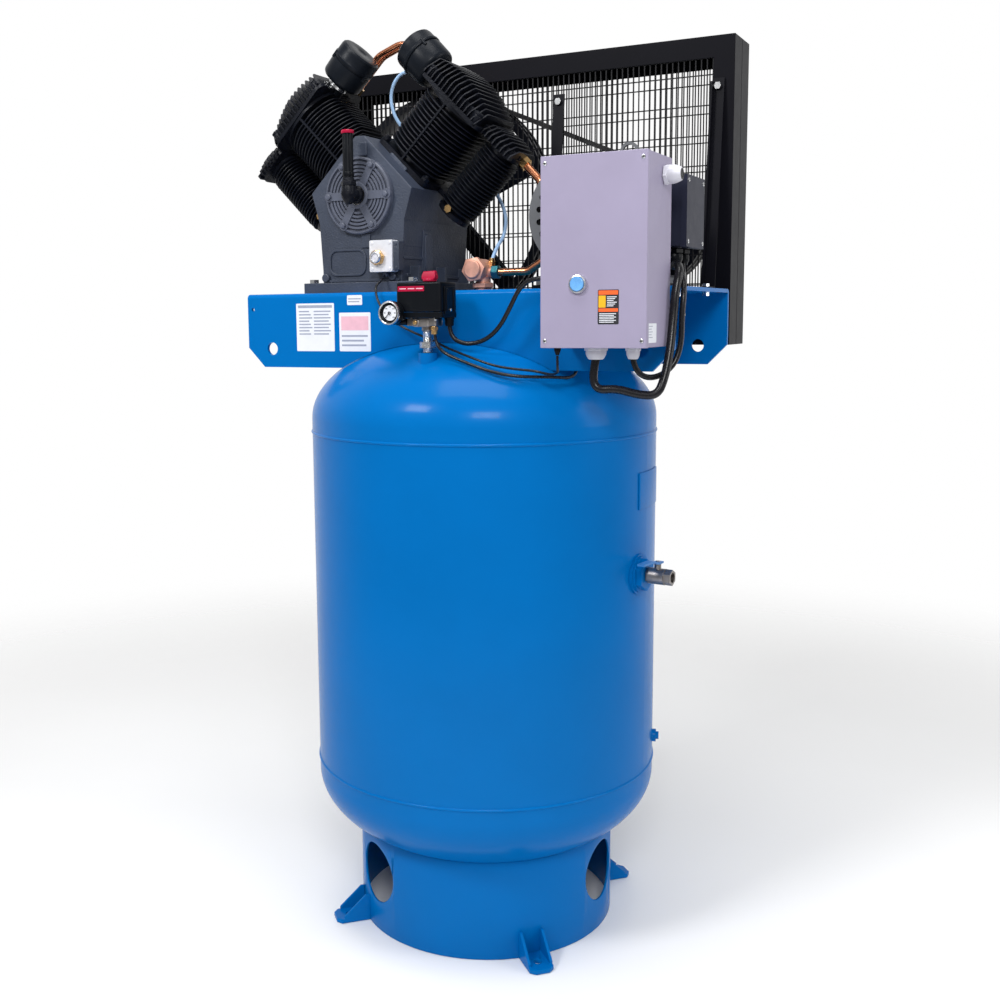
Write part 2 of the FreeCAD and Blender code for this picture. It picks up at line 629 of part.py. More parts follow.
def oil_switch():
    """Low oil level switch with its sight plug, and the grey terminal side."""
    plate = block(("crank_x+38", "crank_x+94"), ("case_front-30", "case_front-4"), (1450, 1517))
    side = block(("crank_x+94", "crank_x+108"), ("case_front-24", "case_front-6"), (1453, 1514))
    stub = rod(9, 5, "crank_x+60", "case_front-5", 1480, "Y")
    sight = fuse(nut(17, 8, "crank_x+60", "case_front-30", 1480, "-Y"),
                 rod(13, 8, "crank_x+60", "case_front-38", 1480, "-Y"))
    lead = rod(5, 8, "crank_x+70", "case_front-16", 1442)
    node("oil_level_switch", group(fuse(plate, side, stub, lead), sight))


# ---------------------------------------------------------------- motor and belts
def motor_rod(radius, start, end):
    return rod(radius, f"({end})-({start})", "motor_x", start, "motor_z", "Y")


def motor():
    hull = motor_rod("motor_radius", "motor_front", "motor_rear")
    bell = cone("motor_radius", 84, 26, "motor_x", "motor_rear", "motor_z", "Y")
    nose = motor_rod(44, "motor_rear+26", "motor_rear+34")
    ribs = []
    for step in range(1, 18):
        angle = 20 * step
        rib = block(("motor_radius-3", "motor_radius+4"), (-2.5, 2.5), (0, 190))
        turn = ALONG["Y"].multiply(Rotation(Vector(0, 0, 1), angle))
        corner = turn.multVec(Vector(size("motor_radius") - 3, -2.5, 0))
        place(rib, f"motor_x+({corner.x})", "motor_front+18", f"motor_z+({corner.z})", turn)
        ribs.append(rib)
    legs = []
    for side in (-1, 1):
        middle = f"motor_x+{side}*foot_reach_x"
        pad_low, pad_high = "deck_top+slide_high", "deck_top+slide_high+12"
        legs.append(block((f"{middle}-22", f"{middle}+22"), ("-foot_long", "foot_long"), (pad_low, pad_high)))
        web = (f"{middle}-{side}*18-7", f"{middle}-{side}*18+7")
        legs.append(block(web, ("-foot_long", "foot_long"), (pad_high, "motor_z-57")))
    pad = block(("motor_x+84", "conduit_x"), (-104, -34), ("motor_z-40", "motor_z+40"))
    eye = cut(rod(20, 8, "motor_x+16", 56, "motor_z+motor_radius+30", "Y"),
              rod(14, 12, "motor_x+16", 54, "motor_z+motor_radius+30", "Y"))
    post = rod(8, 18, "motor_x+16", 60, "motor_z+motor_radius-5")
    cavity = motor_rod("motor_radius-motor_wall", "motor_front+6", "motor_rear+10")
    bore = motor_rod("motor_shaft+shaft_gap", "motor_front-10", "motor_rear+40")
    frame = cut(fuse(hull, bell, nose, pad, eye, post, *ribs, *legs), cavity, bore)
    stator = cut(motor_rod("motor_radius-motor_wall", -80, 80), motor_rod("rotor_radius+stator_gap", -80, 80))
    node("motor_frame", group(frame, stator))


def motor_cowl():
    shell_part = cut(motor_rod("cowl_radius", "cowl_front", "motor_front"),
                     motor_rod("cowl_radius-2", "cowl_front+2", "motor_front"))
    slots = []
    for index, ring in enumerate((32, 51, 70, 89)):
        count = 8 + 5 * index
        for step in range(count):
            angle = math.radians(360 * step / count)
            slots.append(rod(6, 10, f"motor_x+{ring * math.cos(angle):.3f}", "cowl_front-4",
                             f"motor_z+{ring * math.sin(angle):.3f}", "Y"))
    node("motor_fan_cowl", cut(shell_part, *slots))


def rotor():
    shaft = motor_rod("motor_shaft", "motor_front-44", "wheel_rear+4")
    core = motor_rod("rotor_radius", -80, 80)
    hub = motor_rod(30, "motor_front-40", "motor_front-12")
    blades = []
    for step in range(8):
        blade = block((24, 98), (-2, 2), (0, 24))
        turn = ALONG["-Y"].multiply(Rotation(Vector(0, 0, 1), 45 * step))
        corner = turn.multVec(Vector(24, -2, 0))
        place(blade, f"motor_x+({corner.x})", "motor_front-14", f"motor_z+({corner.z})", turn)
        blades.append(blade)
    node("motor_rotor", fuse(shaft, core, hub, *blades))
    rim = motor_rod("sheave_radius", "wheel_front", "wheel_rear")
    grooves = []
    for centre in ("belt_front", "belt_rear"):
        start, end = f"{centre}-groove_width/2", f"{centre}+groove_width/2"
        grooves.append(cut(motor_rod("sheave_radius+5", start, end),
                           motor_rod("sheave_radius-groove_deep", start, end)))
    dish = cut(motor_rod(84, "wheel_rear-14", "wheel_rear+2"), motor_rod(34, "wheel_rear-14", "wheel_rear+2"))
    bore = motor_rod("motor_shaft", "wheel_front-5", "wheel_rear+9")
    node("motor_sheave", cut(rim, *grooves, dish, bore))


def conduit():
    casing = block(("conduit_x", "conduit_x+48"), (-139, -26), (1483, 1614))
    hollow = block(("conduit_x+4", "conduit_x+42"), (-134, -31), (1488, 1609))
    lip = block(("conduit_x+42", "conduit_x+54"), (-141, -24), (1481, 1616))
    entries = [rod(13, 13, "conduit_x+18", -100, 1470), rod(10, 11, "conduit_x+24", -62, 1472)]
    node("conduit_box", fuse(cut(casing, hollow), lip, *entries))


def slide_base():
    """Slotted plate on two rails under the motor's feet, for setting the belt tension."""
    rails = [block((f"motor_x+{x}-24", f"motor_x+{x}+24"), (-110, 110), ("deck_top", "deck_top+3"))
             for x in (-108, 108)]
    plate = block(("motor_x-132", "motor_x+132"), (-110, 110), ("deck_top+3", "deck_top+slide_high"))
    slots = [block((f"motor_x+{x}-17", f"motor_x+{x}+17"), (y, f"{y}+11"), ("deck_top-2", "deck_top+30"))
             for x in (-108, 108) for y in (-86, 75)]
    node("motor_slide_base", cut(fuse(plate, *rails), *slots))


def belts():
    """Two open belts: each is the band between an outer and an inner loop round both wheels."""
    big, small = size("wheel_radius") - 0.6, size("sheave_radius") - 0.6
    first = Vector(size("crank_x"), 0, size("crank_z"))
    second = Vector(size("motor_x"), 0, size("motor_z"))
    made = []
    for centre in ("belt_front", "belt_rear"):
        start = size(centre) - size("belt_width") / 2
        loops = [Part.Face(belt_loop(first, second, big - inset, small - inset))
                 for inset in (0, size("belt_deep"))]
        band = loops[0].cut(loops[1]).extrude(Vector(0, size("belt_width"), 0))
        band.translate(Vector(0, start, 0))
        made.append(band)
    node("drive_belts", feature(Part.makeCompound(made)))


def belt_loop(first, second, big, small):
    gap = (second - first).Length
    line = math.atan2(second.z - first.z, second.x - first.x)
    lean = math.acos((big - small) / gap)

    def on(centre, radius, angle):
        return centre + Vector(radius * math.cos(angle), 0, radius * math.sin(angle))
    up, down = line + lean, line - lean
    runs = [Part.LineSegment(on(first, big, up), on(second, small, up)).toShape(),
            Part.Arc(on(second, small, up), on(second, small, line), on(second, small, down)).toShape(),
            Part.LineSegment(on(second, small, down), on(first, big, down)).toShape(),
            Part.Arc(on(first, big, down), on(first, big, line + math.pi), on(first, big, up)).toShape()]
    return Part.Wire(runs)


# ---------------------------------------------------------------- belt guard
def guard_tray(name, sheet_face, hollow_face):
    """One half of the guard: a shallow tray with a window, notched over the tank's dome."""
    tray = block(("-guard_left", "guard_right"), sheet_face, ("guard_low", "guard_high"))
    hollow = block(("-guard_left+guard_sheet", "guard_right-guard_sheet"), hollow_face,
                   ("guard_low+guard_sheet", "guard_high-guard_sheet"))
    window = block(("-guard_left+guard_border", "guard_right-guard_border"),
                   ("guard_front-5", "guard_rear+5"),
                   ("guard_low+guard_border", "guard_high-guard_border"))
    notch = doc.addObject("Part::Ellipsoid", "notch")
    bind(notch, Radius1="head_depth+4", Radius2="tank_radius+4", Radius3="tank_radius+4")
    place(notch, z="shell_high+head_straight")
    node(name, cut(tray, hollow, window, notch))


def guard_mesh(name, way):
    """Welded wire panel: upright wires lie on the rows, and it opens round both shafts."""
    made = []
    left = size("guard_sheet") + 1 - size("guard_left")
    right = size("guard_right") - size("guard_sheet") - 1
    count = int((right - left) / size("wire_pitch"))
    margin = 0.5 * (right - left - count * size("wire_pitch"))
    bottom = size("guard_low") + 14
    top = size("guard_high") - size("guard_sheet") - 1
    front = size("guard_front") + size("guard_sheet") if way > 0 else size("guard_rear") - size("guard_sheet")
    thick = size("wire")
    hubs = []
    if way > 0:
        hubs = [(size("crank_x"), size("crank_z"), 78.0), (size("motor_x"), size("motor_z"), 78.0)]
    uprights = front + thick * way
    for step in range(count + 1):
        x = left + margin + step * size("wire_pitch")
        for z0, z1 in clear_runs(bottom, top,
                                 [(hub_z, gap_half(radius, x - hub_x)) for hub_x, hub_z, radius in hubs]):
            y0 = min(front, uprights)
            made.append(Part.makeBox(thick, thick, z1 - z0, Vector(x - thick / 2, y0, z0)))
    for step in range(10):
        z = top - 12 - step * size("wire_row")
        for x0, x1 in clear_runs(left, right,
                                 [(hub_x, gap_half(radius, z - hub_z)) for hub_x, hub_z, radius in hubs]):
            y0 = min(uprights, uprights + thick * way)
            made.append(Part.makeBox(x1 - x0, thick, thick, Vector(x0, y0, z - thick / 2)))
    for hub_x, hub_z, radius in hubs:
        ring = Part.makeCylinder(radius, 2 * thick, Vector(hub_x, front, hub_z), Vector(0, 1, 0))
        made.append(ring.cut(Part.makeCylinder(radius - 4, 2 * thick, Vector(hub_x, front, hub_z),
                                               Vector(0, 1, 0))))
    return node(name, feature(Part.makeCompound(made)))


def gap_half(radius, offset):
    return math.sqrt(max(0.0, radius * radius - offset * offset))


def clear_runs(start, end, gaps):
    """The stretches of a wire that stay outside each gap, given as its centre and half width."""
    runs = [(start, end)]
    for centre, half in gaps:
        if half <= 0:
            continue
        cut_runs = []
        for low, high in runs:
            if centre - half > low:
                cut_runs.append((low, min(high, centre - half)))
            if centre + half < high:
                cut_runs.append((max(low, centre + half), high))
        runs = cut_runs
    return [(low, high) for low, high in runs if high - low > 1]


def braces():
    made = []
    for x in (451, 86):
        lean = math.degrees(math.atan2(46, 430))
        strap = block((0, 26), (0, 4), (0, 442))
        place(strap, x, 148, "deck_top+4", Rotation(Vector(1, 0, 0), -lean))
        flange = block((0, 4), (0, 18), (0, 432))
        place(flange, x, 134, "deck_top+6", Rotation(Vector(1, 0, 0), -lean))
        toe = block((x, x + 26), (112, 152), ("deck_top", "deck_top+4.5"))
        made.append(fuse(strap, toe) if x < 100 else fuse(strap, flange, toe))
    node("guard_braces", group(*made))


# ---------------------------------------------------------------- control box
def control_box():
    outer = block(("box_left", "box_right"), ("box_front+lid_deep", "box_back"), ("box_low", "box_high"))
    inner = block(("box_left+box_sheet", "box_right-box_sheet"), ("box_front", "box_back-box_sheet"),
                  ("box_low+box_sheet", "box_high-box_sheet"))
    glands = [rod(13.5, 10, 366, -265, "box_low-4"), rod(9, 10, 439, -265, "box_low-4"),
              rod(4, 10, 302, -300, "box_low-4"), rod(12, 10, "box_right-6", -238, 1605, "X"),
              rod(8, 10, "box_left-4", -265, 1424, "X")]
    relay = block((330, 440), (-290, "box_back-box_sheet"), (1460, 1560))
    rail = block((315, 455), (-212, "box_back-box_sheet"), (1500, 1520))
    node("control_box", group(cut(outer, inner, *glands), fuse(relay, rail)))
    lid = block(("box_left-1", "box_right+1"), ("box_front", "box_front+lid_deep"),
                ("box_low-1", "box_high+1"))
    hollow = block(("box_left+1", "box_right-1"), ("box_front+2", "box_front+lid_deep+1"),
                   ("box_low+1", "box_high-1"))
    hole = rod("button_radius+0.3", 40, "button_x", "box_front-20", "button_z", "Y")
    bezel = fuse(rod("bezel_radius", 5, "button_x", "box_front-5", "button_z", "Y"),
                 rod("bezel_radius-1", 16, "button_x", "box_front", "button_z", "Y"))
    node("control_box_lid", cut(fuse(cut(lid, hollow), bezel), hole))
    cap = rod("button_radius", 18, "button_x", "box_front-9", "button_z", "Y")
    node("reset_button", cap)


def glands():
    made = []
    for x, y, radius, bore in ((366, -265, 20, 8.1), (439, -265, 13, 5.6), (302, -300, 5.5, 2.7)):
        collar = nut(radius * 1.12, 9, x, y, "box_low-9")
        throat = rod(radius * 0.66, 17, x, y, "box_low-9")
        dome_nut = cone(radius, radius * 0.72, 16, x, y, "box_low-9", "-Z")
        made.append(cut(fuse(collar, throat, dome_nut), rod(bore, 50, x, y, "box_low-30")))
    side = fuse(nut(20, 9, "box_right", -238, 1605, "X"), rod(11.8, 10, "box_right-8", -238, 1605, "X"),
                cone(17, 12, 24, "box_right+9", -238, 1605, "X"))
    made.append(side)
    left = cut(fuse(nut(12, 8, "box_left-8", -265, 1424, "X"), rod(7.8, 10, "box_left-2", -265, 1424, "X"),
                    cone(11, 8, 14, "box_left-8", -265, 1424, "-X")),
               rod(4.6, 60, "box_left-40", -265, 1424, "X"))
    made.append(left)
    node("cable_glands", group(*made))


# ---------------------------------------------------------------- pressure switch
def pressure_switch():
    base = block(("switch_left", "switch_right"), ("switch_front", "switch_back"),
                 ("switch_low", "switch_lid"))
    lid = block(("switch_left", "switch_right"), ("switch_front", "switch_back"),
                ("switch_lid", "switch_high"))
    doc.recompute()
    soft = doc.addObject("Part::Fillet", "soft")
    soft.Base = lid
    soft.Edges = [(number, 7.0, 7.0) for number, edge in enumerate(lid.Shape.Edges, start=1)
                  if edge.CenterOfMass.z > size("switch_lid") + 1]
    hole = rod(5.3, 30, 14, -270, "switch_high-20")
    relief = rod(9, 15, 50, -256, "switch_low-15")
    node("pressure_switch",
         group(cut(fuse(base, relief), rod(4.6, 15, 50, -256, "switch_low-15")), cut(soft, hole)))
    cap = fuse(rod(14, 16, 14, -270, "switch_high+1"),
               block((-1, 29), (-274, -266), ("switch_high+17", "switch_high+23")),
               rod(5.2, 16, 14, -270, "switch_high-14"))
    node("switch_knob", cap)
    body = block((-30, 38), (-292, -260), (1333, "switch_low"))
    riser = rod(10, 52, "switch_bung_x", "switch_bung_y", 1281)
    lock = nut(17, 14, "switch_bung_x", "switch_bung_y", 1290)
    tee = rod(8, 10, 30, -282, 1324)
    port = rod(6.6, 8, 4, -260, 1342, "Y")
    node("switch_manifold", fuse(body, riser, lock, tee, cut(port, rod(4, 8, 4, -260, 1342, "Y"))))


def gauge():
    x, z, front = "gauge_x", "gauge_z", "gauge_front"
    case = rod("gauge_radius", 27, x, front, z, "Y")
    dial = rod("gauge_radius-3", 8, x, f"{front}-1", z, "Y")
    pin = rod(1.5, 5, x, f"{front}+3", z, "Y")
    stem = rod(5, 20, x, f"{front}+26", 1343.5, "Y")
    elbow = rod(7, 26, "gauge_x-10", f"{front}+50", 1343.5, "X")
    node("pressure_gauge", fuse(cut(case, dial), pin, stem, elbow))
    boss = cut(rod(3, 1.4, x, f"{front}+3.2", z, "Y"), rod(1.56, 4, x, f"{front}+2", z, "Y"))
    hand = block((1.6, 17), (-0.6, 0.6), (0, 1))
    turn = ALONG["-Y"].multiply(Rotation(Vector(0, 0, 1), -135))
    corner = turn.multVec(Vector(1.6, -0.6, 0))
    place(hand, f"gauge_x+({corner.x})", f"{front}+4.4", f"gauge_z+({corner.z})", turn)
    node("gauge_needle", fuse(boss, hand))


def safety_valve():
    """Relief valve behind the manifold; its pull ring slides back against the spring."""
    barrel = fuse(nut(9, 9, 4, -252, 1342, "Y"), rod(7, 20, 4, -246, 1342, "Y"),
                  rod(3.9, 12, 4, -262, 1342, "Y"))
    node("safety_valve", cut(barrel, rod(2.56, 14, 4, -238, 1342, "Y")))
    ring = cut(rod(9, 2.2, 2.9, -208, 1342, "X"), rod(7, 6, 1, -208, 1342, "X"))
    stem = rod(2.5, 21, 4, -237.5, 1342, "Y")
    node("safety_valve_ring", fuse(ring, stem))


def check_valve():
    """Tank check valve: an upright stem and a large cross body, with its hexagonal cap to the front."""
    stem = rod(15.9, 104, z="shell_high+head_straight+head_depth+1")
    lock = nut(24, 12, z="deck_top+8")
    cross = fuse(rod(24, 52, -6, -26, 1455, "Y"), nut(28, 13, -6, -39, 1455, "Y"),
                 rod(20, 6, -6, -45, 1455, "Y"))
    arm = fuse(rod(10, 30, 8, 0, 1449, "X"), nut(15, 16, 24, 0, 1449, "X"))
    side = rod(8, 14, "10", 0, 1372, "X")
    small = nut(8, 16, 16, 12, 1462)
    node("check_valve", fuse(stem, lock, cross, arm, side, small))


# ---------------------------------------------------------------- tubes and cables
COPPER_RADIUS = 6.35
DISCHARGE = [(103, 0, 1674), (134, 0, 1642), (158, 0, 1592), (160, 0, 1530), (150, 0, 1474),
             (108, 0, 1449), (38, 0, 1449)]
INTERSTAGE = [(-356, 1885), (-290, 1950), (-229, 1972), (-168, 1950), (-102, 1885)]

MOTOR_CABLE_RADIUS = 8
MOTOR_CABLE = [(366, -265, 1272), (358, -265, 1238), (368, -264, 1212), (404, -261, 1216),
               (450, -257, 1204), (482, -251, 1204), (492, -241, 1234), (497, -226, 1282),
               (497.5, -210, 1344), (500, -206, 1398), (504, -192, 1436), (488, -160, 1450),
               (468, -122, 1444), (464, -100, 1456), (464, -100, 1478)]
CONTROL_CABLE_RADIUS = 5.5
CONTROL_CABLE = [(439, -265, 1272), (443, -265, 1252), (460, -256, 1236), (480, -230, 1238),
                 (502, -210, 1260), (511, -200, 1300), (511, -200, 1350), (513, -195, 1396),
                 (504, -170, 1423), (488, -120, 1437), (474, -80, 1446), (470, -62, 1458),
                 (470, -62, 1478)]
SWITCH_CABLE_RADIUS = 4.5
SWITCH_CABLE = [(50, -256, 1340), (51, -256, 1314), (80, -251, 1297), (122, -248, 1303),
                (156, -249, 1328), (182, -253, 1368), (204, -258, 1406), (232, -264, 1424),
                (264, -265, 1424)]
UNLOADER_RADIUS = 3.25
UNLOADER_TUBE = [(30, -282, 1326), (31, -282, 1302), (50, -282, 1281), (86, -285, 1268),
                 (124, -290, 1256), (164, -290, 1244), (202, -280, 1237), (236, -258, 1235),
                 (266, -228, 1234), (288, -190, 1230), (286, -150, 1250), (262, -116, 1277),
                 (224, -88, 1305), (176, -62, 1332), (120, -40, 1354), (68, -14, 1370), (24, 0, 1372)]
OIL_WIRE_RADIUS = 2.5
OIL_WIRE = [(-159, -150, 1446), (-160, -168, 1430), (-154, -203, 1420), (-143, -216, 1390),
            (-118, -221, 1358), (-80, -225, 1334), (-36, -231, 1317), (6, -240, 1304), (44, -258, 1291),
            (86, -271, 1279), (128, -279, 1266), (168, -280, 1255), (206, -272, 1250), (240, -262, 1247),
            (274, -270, 1240), (300, -292, 1244), (302, -300, 1260), (302, -300, 1278)]
PILOT_RADIUS = 4
PILOT_TUBE = [(-122, 48, 1851), (-146, 50, 1876), (-186, 50, 1906), (-232, 50, 1906), (-258, 50, 1868),
              (-256, 54, 1822), (-238, 72, 1782), (-208, 106, 1762), (-150, 130, 1738), (-90, 136, 1694),
              (-30, 126, 1640), (14, 94, 1584), (28, 54, 1530), (21, 24, 1504), (16, 12, 1474)]


def tubes():
    made = [bent_tube(DISCHARGE, COPPER_RADIUS + 2, 28)[0]]
    for y in COPPER_PORTS:
        made.append(bent_tube([(x, y, z) for x, z in INTERSTAGE], COPPER_RADIUS, 48)[0])
    node("copper_tubes", feature(Part.makeCompound(made)))
    cords = (("motor_cable", MOTOR_CABLE, MOTOR_CABLE_RADIUS),
             ("control_cable", CONTROL_CABLE, CONTROL_CABLE_RADIUS),
             ("switch_cable", SWITCH_CABLE, SWITCH_CABLE_RADIUS),
             ("unloader_tube", UNLOADER_TUBE, UNLOADER_RADIUS),
              ("oil_switch_wire", OIL_WIRE, OIL_WIRE_RADIUS),
             ("pilot_tube", PILOT_TUBE, PILOT_RADIUS))
    for name, points, radius in cords:
        solid, radii, length = bent_tube(points, radius)
        expected = math.pi * radius * radius * length
        print(name, "length", round(length), "volume ratio", round(solid.Volume / expected, 3),
              "radii", [round(value) for value in radii])
        node(name, feature(solid))


# ---------------------------------------------------------------- fasteners
def hex_bolts():
    made = []

    def bolt(x, y, z, way, radius=8, head=6):
        made.append(nut(radius, head, x, y, z, way))
    for x in ("crank_x-base_half+16", "crank_x+base_half-16"):
        for y in ("base_front+18", "base_rear-18"):
            made.append(fuse(nut(11, 8, x, y, "case_base"), rod(6.9, 24, x, y, "case_base-23")))
    for x in ("motor_x-foot_reach_x", "motor_x+foot_reach_x"):
        for y in (-80, 80):
            bolt(x, y, "deck_top+slide_high+12", "Z", 9, 7)
    for x in (403, 464):
        made.append(nut(8, 7, x, 124, "deck_top-deck_plate-7"))
    bolt(403, 124, "deck_top", "Z")
    for x in (464, 99):
        bolt(x, 124, "deck_top+4.5", "Z")
    for x in (464, 99):
        made.append(nut(8, 5, x, 191, 1834, "-Y"))
    node("hex_bolts", group(*made))


def cover_screws():
    made = []
    for x in ("box_left+8", "box_right-8"):
        for z in ("box_low+12", "box_high-12"):
            made.append(rod(4, 2.4, x, "box_front-2.4", z, "Y"))
    for y in (-131, -34):
        for z in (1491, 1606):
            made.append(rod(4, 2.4, "conduit_x+54", y, z, "X"))
    node("cover_screws", group(*made))


shell()
tank_head("tank_top_head", True)
tank_head("tank_bottom_head", False)
skirt()
feet()
bungs()
data_plate()
deck()
outlet_valve()
crankcase()
front_cover()
rear_housing()
crankshaft()
flywheel()
bank(-1, "left")
bank(1, "right")
intake_filters()
pistons()
pump_fittings()
breather()
oil_switch()
motor()
motor_cowl()
rotor()
conduit()
slide_base()
belts()
guard_tray("guard_front_frame", ("guard_front", "guard_seam-0.5"), ("guard_front+guard_sheet", "guard_seam"))
guard_tray("guard_rear_frame", ("guard_seam+0.5", "guard_rear"), ("guard_seam", "guard_rear-guard_sheet"))
guard_mesh("guard_front_mesh", 1)
guard_mesh("guard_rear_mesh", -1)
braces()
control_box()
glands()
pressure_switch()
gauge()
safety_valve()
check_valve()
tubes()
hex_bolts()
cover_screws()
doc.recompute()

faults = [item.Name for item in doc.Objects if {"Invalid", "Error"} & set(item.State)]
for name, item in NODES.items():
    if item.Shape.isNull() or not item.Shape.isValid():
        faults.append(name)
if faults:
    raise RuntimeError("failed: " + ", ".join(faults))

os.makedirs("parts", exist_ok=True)
for name, item in NODES.items():
    item.Shape.exportStep(f"parts/{name}.step")
print(len(NODES), "nodes written")
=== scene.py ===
import json
from math import cos, pi, radians, sin, tan

import bmesh
import bpy
from mathutils import Matrix, Vector


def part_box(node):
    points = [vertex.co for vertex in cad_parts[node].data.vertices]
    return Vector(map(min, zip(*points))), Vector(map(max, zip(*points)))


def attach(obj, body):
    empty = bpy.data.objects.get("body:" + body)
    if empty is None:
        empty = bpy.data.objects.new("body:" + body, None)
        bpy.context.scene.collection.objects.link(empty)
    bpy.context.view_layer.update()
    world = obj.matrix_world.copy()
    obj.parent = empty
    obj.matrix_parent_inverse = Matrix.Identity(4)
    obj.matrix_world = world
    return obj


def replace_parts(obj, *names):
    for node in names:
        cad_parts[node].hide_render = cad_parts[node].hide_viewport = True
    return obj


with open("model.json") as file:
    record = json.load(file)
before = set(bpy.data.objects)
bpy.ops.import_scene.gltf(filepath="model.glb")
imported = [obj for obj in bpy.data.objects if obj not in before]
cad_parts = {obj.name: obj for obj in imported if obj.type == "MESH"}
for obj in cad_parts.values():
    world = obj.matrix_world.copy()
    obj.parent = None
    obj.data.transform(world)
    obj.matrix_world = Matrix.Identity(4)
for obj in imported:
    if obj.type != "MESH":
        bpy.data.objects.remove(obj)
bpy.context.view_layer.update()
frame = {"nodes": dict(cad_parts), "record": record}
NODES = frame["nodes"]
JOINTS = {joint["name"]: joint for joint in frame["record"]["behaviour"]["joints"]}
MM = 0.001


def joint_place(name):
    """Where a joint's axis is, in millimetres."""
    return [1000 * value for value in JOINTS[name]["pos_m"]]


def linked(name, data):
    """A new object of this data, in the scene."""
    item = bpy.data.objects.new(name, data)
    bpy.context.scene.collection.objects.link(item)
    return item


# ---------------- camera
def make_camera():
    """The camera at the photograph's viewing angle."""
    yaw, pitch, roll = 0.4823, -0.1312, -0.0093
    forward = Vector((-sin(yaw) * cos(pitch), cos(yaw) * cos(pitch), sin(pitch)))
    right = forward.cross(Vector((0, 0, 1))).normalized()
    up = right.cross(forward)
    right_rolled = right * cos(roll) + up * sin(roll)
    up_rolled = -right * sin(roll) + up * cos(roll)
    place = Matrix((right_rolled, up_rolled, -forward)).transposed().to_4x4()
    place.translation = (1.1677, -2.3845, 1.3470)
    data = bpy.data.cameras.new("camera")
    data.sensor_width = 36
    data.lens = 42.80
    data.shift_x = 0.0477
    data.shift_y = -0.0235
    data.clip_end = 100
    camera = linked("camera", data)
    camera.matrix_world = place
    bpy.context.scene.camera = camera


make_camera()


# ---------------- materials
COAT_ROUGHNESS = 0.08
SMOOTHEST = 0.02
TONE_ENDS = 0.3, 0.7


def add_node(tree, kind, **values):
    """A new node, each value given to the input of that name or, if there is none, to the node itself."""
    item = tree.nodes.new(kind)
    for key, value in values.items():
        if key in item.inputs:
            item.inputs[key].default_value = value
        else:
            setattr(item, key, value)
    return item


def eased(tree, value, low, high, start=0.0, end=1.0):
    """A value that goes smoothly from start to end while the one it follows goes from low to high."""
    item = add_node(tree, "ShaderNodeMapRange", interpolation_type="SMOOTHSTEP")
    for socket, number in (("From Min", low), ("From Max", high), ("To Min", start), ("To Max", end)):
        item.inputs[socket].default_value = number
    tree.links.new(value, item.inputs["Value"])
    return item.outputs["Result"]


def surface(name, colour, rough=0.4, metal=0.0, coat=0.0, specular=0.5, shade=0.12, blotch=40, grain=900,
            bump=0.08, depth=0.0002, rough_spread=0.1, streak=None, pits=0):
    """A procedural finish: blotchy tone, uneven roughness, and a bump of fine grain, streaks and pits.

    shade is how far the tone strays from the colour, and rough_spread the same for roughness. blotch, grain
    and pits are how fine each pattern is. bump is the relief's strength, depth its height in metres,
    and streak the grain's scale along each axis.
    """
    material = bpy.data.materials.new(name)
    material.use_nodes = True
    tree = material.node_tree
    wire = tree.links.new
    shader = tree.nodes["Principled BSDF"]
    for socket, value in (("Metallic", metal), ("Coat Weight", coat), ("Coat Roughness", COAT_ROUGHNESS),
                          ("Specular IOR Level", specular)):
        shader.inputs[socket].default_value = value
    where = add_node(tree, "ShaderNodeTexCoord").outputs["Object"]
    fine_where = where
    if streak:
        squeeze = add_node(tree, "ShaderNodeMapping")
        squeeze.inputs["Scale"].default_value = streak
        wire(where, squeeze.inputs["Vector"])
        fine_where = squeeze.outputs["Vector"]
    tone = add_node(tree, "ShaderNodeTexNoise", Scale=blotch, Detail=5.0, Roughness=0.6)
    wire(where, tone.inputs["Vector"])
    ramp = add_node(tree, "ShaderNodeValToRGB")
    for end, place, change in zip(ramp.color_ramp.elements, TONE_ENDS, (-shade, shade)):
        end.position = place
        end.color = [min(1.0, channel * (1 + change)) for channel in colour] + [1]
    wire(tone.outputs["Fac"], ramp.inputs["Fac"])
    wire(ramp.outputs["Color"], shader.inputs["Base Color"])
    fine = add_node(tree, "ShaderNodeTexNoise", Scale=grain, Detail=4.0, Roughness=0.65)
    wire(fine_where, fine.inputs["Vector"])
    level = add_node(tree, "ShaderNodeMapRange")
    level.inputs["To Min"].default_value = max(SMOOTHEST, rough - rough_spread)
    level.inputs["To Max"].default_value = min(1.0, rough + rough_spread)
    worn = add_node(tree, "ShaderNodeTexNoise", Scale=blotch * 5, Detail=6.0, Roughness=0.7)
    wire(fine_where, worn.inputs["Vector"])
    wire(worn.outputs["Fac"], level.inputs["Value"])
    wire(level.outputs["Result"], shader.inputs["Roughness"])
    height = fine.outputs["Fac"]
    if pits:
        cells = add_node(tree, "ShaderNodeTexVoronoi", Scale=pits)
        wire(where, cells.inputs["Vector"])
        total = add_node(tree, "ShaderNodeMath", operation="ADD")
        wire(fine.outputs["Fac"], total.inputs[0])
        wire(cells.outputs["Distance"], total.inputs[1])
        height = total.outputs[0]
    raised = add_node(tree, "ShaderNodeBump", Strength=bump, Distance=depth)
    wire(height, raised.inputs["Height"])
    wire(raised.outputs["Normal"], shader.inputs["Normal"])
    return material


